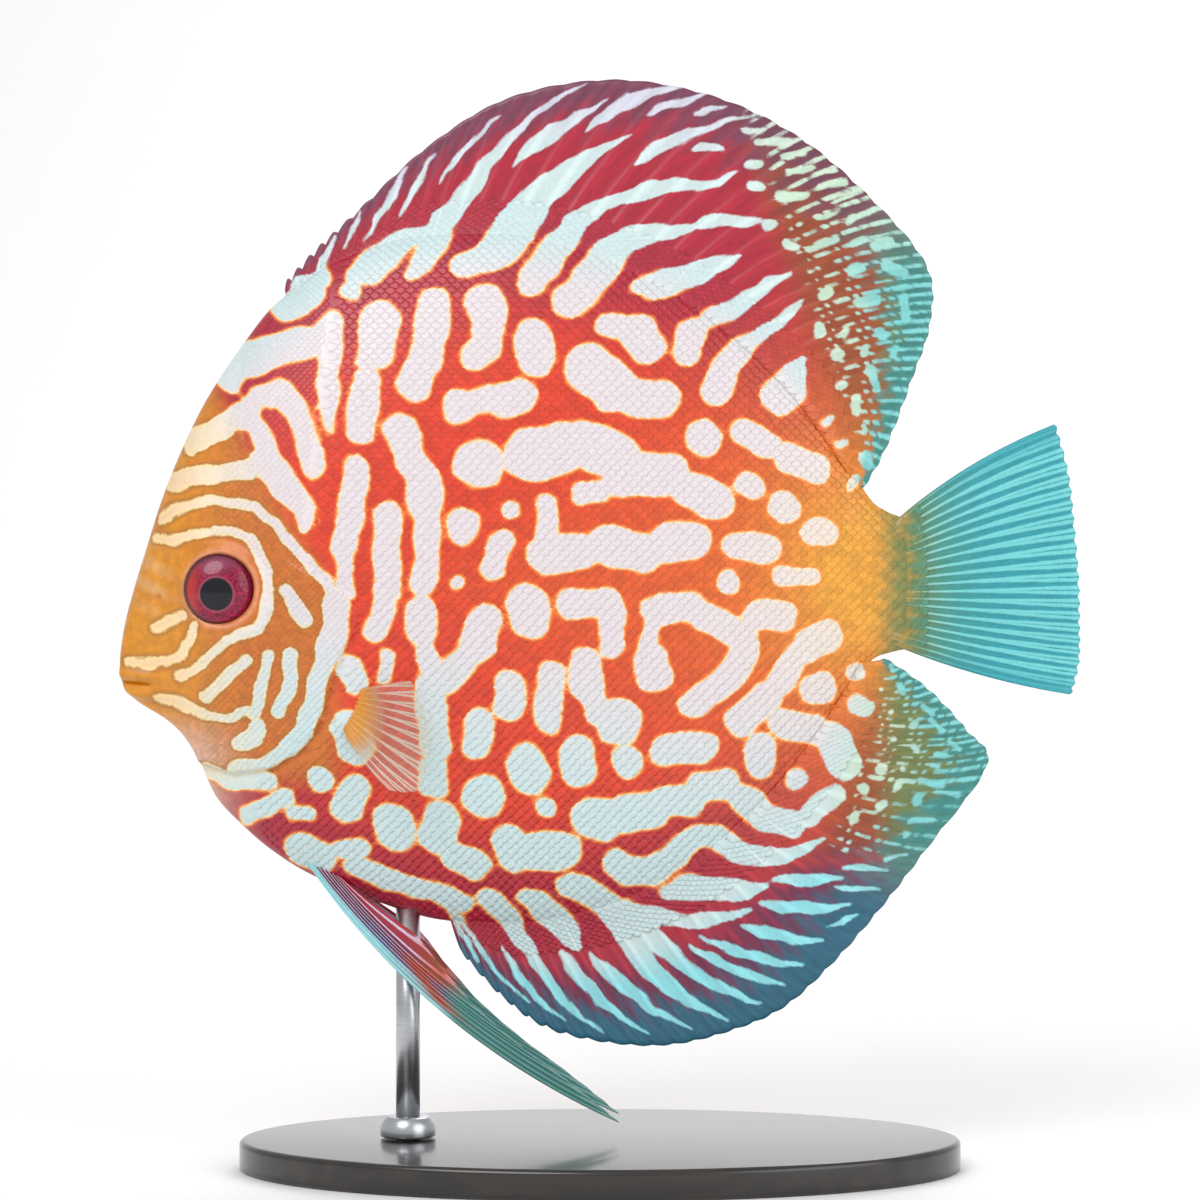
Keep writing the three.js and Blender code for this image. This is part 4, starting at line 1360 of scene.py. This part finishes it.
tail, tail_side, tail_s, tail_t = fin_piece("tail_fan", tail_shape, tail_finish, ["tail_fin"])

# %% Pectoral and pelvic fins
PECTORAL_ROOT = [[39.4, -15], [37.6, -20.8]]
PECTORAL_TIPS = [[49.4, -13], [51.8, -18.4], [52.6, -24], [50.8, -30.6], [46, -31]]
PELVIC_ROOT = [[31.2, -43.4], [37, -46]]
PELVIC_TIPS = [[83.6, -86.6], [80, -83.6], [73.6, -78.6], [66.6, -73.4], [58.4, -66], [49.4, -55]]
pectoral_y = float(half_width(39.4, -17.9)) - 1.6


def pectoral_shape(side):
    return {
        "rays": 12, "rows": 40, "ridge": 0.2, "fork": 0.4,
        "root": ray_line(PECTORAL_ROOT),
        "tip": ray_line(PECTORAL_TIPS),
        "bow": even(0.03, -0.05),
        "lateral": lambda s, t: side * (pectoral_y + 7.5 * t**0.8 + 0.8 * np.sin(np.pi * s) * t),
        "half": lambda s, t: 0.14 + 0.4 * (1 - t) ** 3,
        "notch": lambda s: 0.4 + 0 * s,
    }


def pelvic_shape(side):
    return {
        "rays": 9, "rows": 110, "ridge": 0.24, "fork": 0.9, "narrow": 0.2,
        "root": ray_line(PELVIC_ROOT),
        "tip": ray_line(PELVIC_TIPS),
        "bow": even(-0.07, -0.02),
        "lateral": lambda s, t: side * (1.5 + 3.4 * t**0.55),
        "half": lambda s, t: 0.2 + 0.5 * (1 - t) ** 1.5,
        "notch": lambda s: 0.6 + 0 * s,
    }


paired = {}
for word, side in SIDES:
    paired[f"pectoral_fin_{word}"] = fin_piece(
        f"pectoral_{word}", pectoral_shape(side), clear_finish, [f"pectoral_fin_{word}"]
    )
    paired[f"pelvic_fin_{word}"] = fin_piece(
        f"pelvic_{word}", pelvic_shape(side), fin_finish, [f"pelvic_fin_{word}"]
    )

# %% [markdown]
# ## Markings of the fins
# Out on the dorsal and anal fins the pigment follows the rays. The rear lobes and the margin
# carry rows of short dashes, two rows to a ray because each ray forks, and each row starts at a
# place of its own. The traced strokes give the long stripes, and the rows fill in the rest.


# %% Rows of dashes along the rays
DASH_PERIOD = 2.5
DASH_WIDTH = 0.95


def own_number(k):
    """The same number between 0 and 1 each time for the same row."""
    return (np.sin(k * 12.9898) * 43758.5453) % 1


def dashes(shape, s, t, period, width, solid_share):
    rows = 2 * shape["rays"]
    k = np.floor(s * rows)
    step = 0.5 / rows
    middle = (k + 0.5) / rows
    here = fin_grid(shape, middle, t)
    beside = fin_grid(shape, np.clip(middle + step, 0, 1), t)
    spacing = 2 * np.hypot(*(beside - here).T)
    across = (s * rows - k - 0.5) * spacing
    length = np.linalg.norm(shape["root"](s) - shape["tip"](s), axis=-1)
    along = (t * length / period + own_number(k) + 0.3 * np.sin(3 * t * length / period + k)) % 1
    beyond = np.maximum(0, np.abs(along - 0.5) - solid_share / 2) * period
    wide = np.minimum(width, 0.62 * spacing) * (0.75 + 0.5 * own_number(k + 0.37))
    return wide / 2 - np.hypot(across, beyond)


# %% Colours of the dorsal and anal fins
for piece, shape, side_view, s, t, upper in (
    (dorsal, dorsal_shape, dorsal_side, dorsal_s, dorsal_t, True),
    (anal, anal_shape, anal_side, anal_s, anal_t, False),
):
    x, z = side_view.T
    in_lobe = rear_lobes(x, z) * ease(t, 0.02, 0.2)
    by_margin = ease(t, 0.78, 0.9) * ease(s, 0.52, 0.62) * (1 - ease(t, 0.97, 1.0))
    spots = dashes(shape, s, t, DASH_PERIOD, DASH_WIDTH, 0.25 + 0.3 * ease(t, 0.5, 0.9))
    streaks = dashes(shape, s, t, 2 * DASH_PERIOD, DASH_WIDTH * 0.8, 0.6)
    drawn = np.maximum(spots - 1 + in_lobe, streaks - 1 + by_margin * (1 if upper else 0.5))
    colours = fin_margin_colours(*body_colours(x, z), s, t, upper)
    mark = np.maximum(markings(side_view), drawn)
    add_markings(piece, side_view, mark, 1 - ease(t, 0, 0.13), *colours)


# %% Colours of the tail, pelvic and pectoral fins
RAY_MARK = 0.9
TAIL_RAY_EDGE, PAIRED_RAY_EDGE = 0.3, 0.5


def rays_as_marks(piece, level):
    """The rays are the pale islands of a fin, and its membrane is the ground."""
    rays = np.empty(len(piece.data.vertices), np.float32)
    piece.data.attributes["ray"].data.foreach_get("value", rays)
    return RAY_MARK * (rays - level)


def tail_colours(x, s, t):
    edge = 1 - ease(np.minimum(s, 1 - s), 0.0, 0.12)
    ragged = t + 0.03 * np.sin(40 * s) + 0.02 * np.sin(97 * s)
    between = blend(TURQUOISE, SEA_GREEN, 1 - ease(t, 0.12, 0.6))
    between = blend(between, OLIVE, 1 - ease(ragged, 0.08, 0.3))
    between = blend(between, AMBER, 0.35 * (1 - ease(ragged, 0.06, 0.15)))
    rays = blend(PALE_TURQUOISE, TURQUOISE, edge)
    rays = blend(rays, PALE_GREEN, (1 - ease(t, 0.1, 0.4)) * 0.5)
    return between, blend(rays, between, 0.75 * (1 - ease(t, 0.05, 0.3)))


def pelvic_colours(x, s, t):
    front = 1 - ease(s, 0.22, 0.36)
    between = blend(PLUM, CRIMSON, ease(s, 0.7, 0.95))
    between = blend(between, INDIGO, ease(t, 0.1, 0.3) * (1 - ease(s, 0.5, 0.7)))
    between = blend(between, CYAN, front * (1 - 0.7 * bell(s - 0.16, 0.05) * ease(t, 0.25, 0.4)))
    rays = blend(LAVENDER, BLUE_WHITE, front)
    rusty = bell(x - 51.5 - 2 * np.sin(9 * s), 3.2) * ease(s, 0.06, 0.2)
    trailing = ease(x, 52, 57)
    between, rays = blend(between, MARGIN_TEAL, trailing), blend(rays, FILAMENT, trailing)
    return blend(between, BROWN, rusty), blend(rays, RED_ORANGE, 0.8 * rusty)


def pectoral_colours(x, s, t):
    base = 1 - ease(t, 0.15, 0.6)
    return blend(CLEAR_GREY, AMBER, base), blend(CLEAR_GREY * 1.1, AMBER, base * 0.8)


colours_of = {"tail": tail_colours, "pectoral": pectoral_colours, "pelvic": pelvic_colours}
rayed = {"tail_fin": (tail, tail_side, tail_s, tail_t), **paired}
for name, (piece, side_view, s, t) in rayed.items():
    mark = rays_as_marks(piece, TAIL_RAY_EDGE if piece is tail else PAIRED_RAY_EDGE)
    ground, island = colours_of[name.split("_")[0]](side_view[:, 0], s, t)
    add_markings(piece, side_view, mark, 0 * mark, ground, island)
print(len(rayed), "fins have their rays as pale marks")

# %% [markdown]
# ## Scales over the fins' feet
# The scales of a discus don't stop at the fin. Smaller ones run a few millimetres out along the
# rays, so no hard line parts body and fin. The same coat is laid here over the foot of each
# fin, with distance out along a ray and distance along the foot as its two directions.

# %% Scales over the fins' feet
FOOT_PITCH, FOOT_RISE = 1.0, 0.62
FOOT_LIFT = 0.05
FOOT_SPAN = 0.47
SHARE_OF_RAY = 0.32


def fin_foot(shape, way):
    """Places on a fin's right face; way is 1 if the foot is measured as s runs."""
    ends = shape["root"](np.array([0.0, 1.0]))
    foot = np.linalg.norm(ends[1] - ends[0])

    def spot(out, along):
        s = np.clip(0.5 + way * along / foot, 0, 1)
        return s, out / np.linalg.norm(shape["root"](s) - shape["tip"](s), axis=-1)

    def surface(out, along):
        s, t = spot(out, along)
        side_view = fin_grid(shape, s, t)
        thick = shape["half"](s, t) + shape["ridge"] * 0.6 + FOOT_LIFT
        places = np.stack([side_view[..., 0], thick, side_view[..., 1]], -1)
        return places, np.broadcast_to([0.0, 1.0, 0.0], places.shape)

    return spot, surface, foot


def foot_paint(flat, centre, out):
    mark, _, ground, island = body_paint(flat, centre, out)
    return mark, 1 - ease(out, 0, 4), ground, island


def tail_foot_paint(flat, centre, out):
    s = (tail_top - flat[:, 1]) / (tail_top - tail_foot)
    ground, island = tail_colours(flat[:, 0], s, out / (TOTAL_LENGTH - BODY_LENGTH))
    return np.full(len(flat), FAR_OUTSIDE), np.zeros(len(flat)), ground, island


for fin_name, shape, way, first, last, paint in (
    ("dorsal", dorsal_shape, -1, 1.1, 6.6, foot_paint),
    ("anal", anal_shape, 1, 1.1, 6.6, foot_paint),
    ("tail", tail_shape, -1, 1.6, 5.4, tail_foot_paint),
):
    spot, foot_surface, foot = fin_foot(shape, way)
    outs = np.arange(first, last, FOOT_PITCH)
    alongs = np.arange(-FOOT_SPAN * foot, FOOT_SPAN * foot, FOOT_RISE)
    out, along = np.meshgrid(outs, alongs, indexing="ij")
    out = (out + FOOT_PITCH / 2 * (np.arange(len(alongs)) % 2)).ravel()
    along = along.ravel()
    on_foot = spot(out, along)[1] < SHARE_OF_RAY
    out, along = out[on_foot], along[on_foot]
    for word, side in SIDES:
        scale_count += len(out)
        coat_piece(
            f"scales_{fin_name}_foot_{word}", side, out, along, FOOT_PITCH, FOOT_RISE, foot_surface, paint
        )
print(scale_count, "scales with those on the fins")

# %% [markdown]
# ## The eyes
# A fish's eye has no lids. A flat wet dome fills its socket: a black pupil, a thin bright ring,
# and a red iris with darker flecks. The dome is a grid round its own pole, so that ring and
# iris follow circles.

# %% Eye finish
PUPIL = srgb(0.01, 0.02, 0.07)
PUPIL_RING = srgb(0.58, 0.25, 0.32)
IRIS_DARK = srgb(0.34, 0.02, 0.15)
IRIS_BRIGHT = srgb(0.66, 0.06, 0.27)
IRIS_ABOVE = srgb(0.55, 0.27, 0.38)
IRIS_AHEAD = srgb(0.74, 0.22, 0.18)
IRIS_RIM = srgb(0.24, 0.02, 0.09)
FLECKS_PER_METRE = 2600.0
PUPIL_EDGE = 2.6, 2.8
RING_EDGE = 2.8, 3.3
RIM_EDGE = 5.0, EYE_RADIUS

eye_finish = Finish(
    "eye", Roughness=0.3, Specular_IOR_Level=0.2, Coat_Weight=0.55, Coat_Roughness=0.03
)
radius = eye_finish.attribute("radius")
flecks = eye_finish.ramp(eye_finish.noise(FLECKS_PER_METRE, 4.0), 0.35, 0.65)
iris = eye_finish.mix(flecks, solid(IRIS_DARK), solid(IRIS_BRIGHT))
iris = eye_finish.mix(eye_finish.attribute("above"), iris, solid(IRIS_ABOVE))
iris = eye_finish.mix(eye_finish.attribute("ahead"), iris, solid(IRIS_AHEAD))
eye_colour = solid(PUPIL)
for edge, outside in ((PUPIL_EDGE, solid(PUPIL_RING)), (RING_EDGE, iris), (RIM_EDGE, solid(IRIS_RIM))):
    eye_colour = eye_finish.mix(eye_finish.ramp(radius, *edge), eye_colour, outside)
eye_finish.colour(eye_colour)
print("eye finish has", len(eye_finish.tree.nodes), "nodes")

# %% Eyes
EYE_BULGE = 3.0
EYE_SUNK = 1.2
EYE_RIM = EYE_RADIUS + 0.3
PUPIL_AHEAD = 0.45
PUPIL_BELOW = 0.85
IRIS_START = 3.5


def eye_piece(word, side):
    rings, around_eye = int(60 * detail), int(120 * detail)
    centre_y = float(half_width(EYE_X, EYE_ABOVE_AXIS)) - EYE_SUNK
    polar = np.linspace(0, np.pi, rings)[1:-1, None]
    turn = circle(around_eye)
    across = EYE_RIM * np.sin(polar)
    x = EYE_X + across * np.cos(turn)
    y = side * (centre_y + EYE_BULGE * np.cos(polar) + 0 * turn)
    z = EYE_ABOVE_AXIS + across * np.sin(turn)
    front, back_of_it = [
        [EYE_X, side * (centre_y + bulge), EYE_ABOVE_AXIS] for bulge in (EYE_BULGE, -EYE_BULGE)
    ]
    points, faces = capped_loft(np.stack([x, y, z], -1), front, back_of_it)
    if side > 0:
        faces = [face[::-1] for face in faces]
    piece = new_piece(f"eyeball_{word}", points, faces, eye_finish.material, [f"eye_{word}"])
    behind_middle, above_middle = points[:, 0] - EYE_X, points[:, 2] - EYE_ABOVE_AXIS
    from_pupil = np.hypot(behind_middle + PUPIL_AHEAD, above_middle + PUPIL_BELOW)
    from_middle = np.hypot(behind_middle, above_middle)
    toward_rim = ease(from_middle, IRIS_START, EYE_RADIUS)
    add_number(piece, "radius", from_pupil * (1 - toward_rim) + from_middle * toward_rim)
    add_number(piece, "above", 0.75 * ease(above_middle, 2.2, 4.8))
    add_number(piece, "ahead", 0.8 * ease(-behind_middle, 2.6, 4.8))


for word, side in SIDES:
    eye_piece(word, side)

# %% [markdown]
# ## The stand
# A museum would hold the fish on one steel rod over a lacquered wooden base. The measured
# stand is faceted, so finer turned pieces take its place at the same sizes.

# %% Stand finishes
DARK_WOOD, PALE_WOOD = srgb(0.07, 0.06, 0.055), srgb(0.16, 0.13, 0.11)
DULL_STEEL, BRIGHT_STEEL = srgb(0.66, 0.67, 0.69), srgb(0.82, 0.83, 0.84)
WOOD_GRAIN_PER_METRE = (25.0, 420.0, 420.0)
BRUSH_LINES_PER_METRE = (300.0, 300.0, 6000.0)

lacquer = Finish("stand_base", Roughness=0.28, Coat_Weight=0.6, Coat_Roughness=0.12)
grain = lacquer.stretched_noise(WOOD_GRAIN_PER_METRE, 5.0)
lacquer.colour(lacquer.mix(lacquer.ramp(grain, 0.35, 0.7), solid(DARK_WOOD), solid(PALE_WOOD)))
lacquer.bump(grain, 0.00005, 0.4)

steel = Finish("stand_metal", Metallic=1.0, Roughness=0.3)
brushed = steel.stretched_noise(BRUSH_LINES_PER_METRE, 3.0)
steel.colour(steel.mix(brushed, solid(DULL_STEEL), solid(BRIGHT_STEEL)))
steel.bump(brushed, 0.00001, 0.5)
print("wood grain and brushed steel for the stand")

# %% Stand pieces
base_low, base_high = node_box("stand_base")
collar_low, collar_high = node_box("stand_collar")
rod_low, rod_high = node_box("stand_rod")
fish_at = np.array([snout_x, 0, axis_z])


def turned(name, centre_x, radii_x, radii_y, heights, finish, replaced, around_it=160):
    """Ovals of given half axes at given heights, closed at both ends."""
    turn = circle(around_it)
    rings = [
        np.stack([centre_x + rx * np.cos(turn), ry * np.sin(turn), z + 0 * turn], -1)
        for rx, ry, z in zip(radii_x, radii_y, heights)
    ]
    sides = grid_faces(len(rings), around_it, ring=True)
    lowest, highest = np.arange(around_it)[::-1], np.arange(around_it) + (len(rings) - 1) * around_it
    faces = [*np.roll(sides[:, ::-1], 1, axis=1).tolist(), lowest.tolist(), highest.tolist()]
    new_piece(name, np.vstack(rings) - fish_at, faces, finish.material, replaced)


BEVEL = 0.9
half_x, half_y = (base_high - base_low)[:2] / 2
arc = np.linspace(0, np.pi / 2, 8)
inset = BEVEL * (1 - np.sin(arc))
rise = BEVEL * (1 - np.cos(arc))
insets = np.r_[inset, inset[::-1]]
heights = np.r_[rise, (base_high[2] - rise)[::-1]]
turned(
    "base_plate", 0, half_x - insets, half_y - insets, heights, lacquer, ["stand_base"]
)

# %% Rod
INTO_BELLY = 0.6
rod_x = (rod_low[0] + rod_high[0]) / 2
rod_radii = [(rod_high[0] - rod_low[0]) / 2] * 2
belly_z = axis_z + float(belly(rod_x - snout_x))
rod_heights = [rod_low[2], belly_z + INTO_BELLY]
turned("rod", rod_x, rod_radii, rod_radii, rod_heights, steel, ["stand_rod"], 48)

# %% Collar round the rod's foot
collar_radius = (collar_high[0] - collar_low[0]) / 2
tall = collar_high[2] - collar_low[2]
collar_heights = collar_low[2] + np.array([0, 0.1, 0.3, tall * 0.6, tall - 0.3, tall - 0.08, tall])
collar_radii = collar_radius - np.array([0.3, 0.08, 0, 0, 0.75, 0.95, 1.3])
turned(
    "collar", rod_x, collar_radii, collar_radii, collar_heights, steel,
    ["stand_collar"], 96,
)

# %% [markdown]
# ## Floor, light and background
# The photograph is a cut-out on white. A pale floor that curves up behind the fish gives the
# same clean ground with no horizon, and large soft lamps keep the colours even.

# %% Floor
FLOOR_HALF = 1.6
SWEEP_START, SWEEP, SWEEP_TOP = 0.5, 0.5, 1.6
angles = np.linspace(0, np.pi / 2, 24)
floor_y = np.r_[-FLOOR_HALF, SWEEP_START, SWEEP_START + SWEEP * np.sin(angles), SWEEP_START + SWEEP]
floor_z = np.r_[0, 0, SWEEP * (1 - np.cos(angles)), SWEEP_TOP]
floor_points = [[x, y, z] for y, z in zip(floor_y, floor_z) for x in (-FLOOR_HALF, FLOOR_HALF)]
floor_faces = [[2 * k, 2 * k + 1, 2 * k + 3, 2 * k + 2] for k in range(len(floor_y) - 1)]
floor_mesh = bpy.data.meshes.new("floor")
floor_mesh.from_pydata(floor_points, [], floor_faces)
floor = bpy.data.objects.new("floor", floor_mesh)
bpy.context.collection.objects.link(floor)
paper = Finish("floor", Roughness=0.9, Base_Color=(0.88, 0.88, 0.88, 1))
floor_mesh.materials.append(paper.material)
floor_mesh.polygons.foreach_set("use_smooth", [True] * len(floor_faces))
print("floor", 2 * FLOOR_HALF, "m wide")

# %% Lamps and sky
SKY_STRENGTH = 0.62
world = bpy.data.worlds.new("studio")
bpy.context.scene.world = world
world.use_nodes = True
sky = world.node_tree.nodes["Background"]
sky.inputs["Color"].default_value = (1, 1, 1, 1)
sky.inputs["Strength"].default_value = SKY_STRENGTH


def lamp(name, place, size, power):
    data = bpy.data.lights.new(name, "AREA")
    data.shape = "DISK"
    data.size = size
    data.energy = power
    made = bpy.data.objects.new(name, data)
    made.location = place
    towards = np.array([0, 0, axis_z * MM]) - np.array(place)
    yaw = math.atan2(towards[1], towards[0])
    pitch = math.atan2(towards[2], math.hypot(towards[0], towards[1]))
    made.rotation_euler = (math.pi / 2 + pitch, 0, yaw - math.pi / 2)
    bpy.context.collection.objects.link(made)


lamp("key", (-0.35, -0.7, 0.75), 0.6, 4.0)
lamp("fill", (0.7, -0.6, 0.35), 0.8, 2.6)
lamp("back", (0.1, 0.7, 0.9), 0.8, 4.6)
bpy.context.scene.view_settings.view_transform = "Standard"
print(len(bpy.data.lights), "lamps and a white sky")
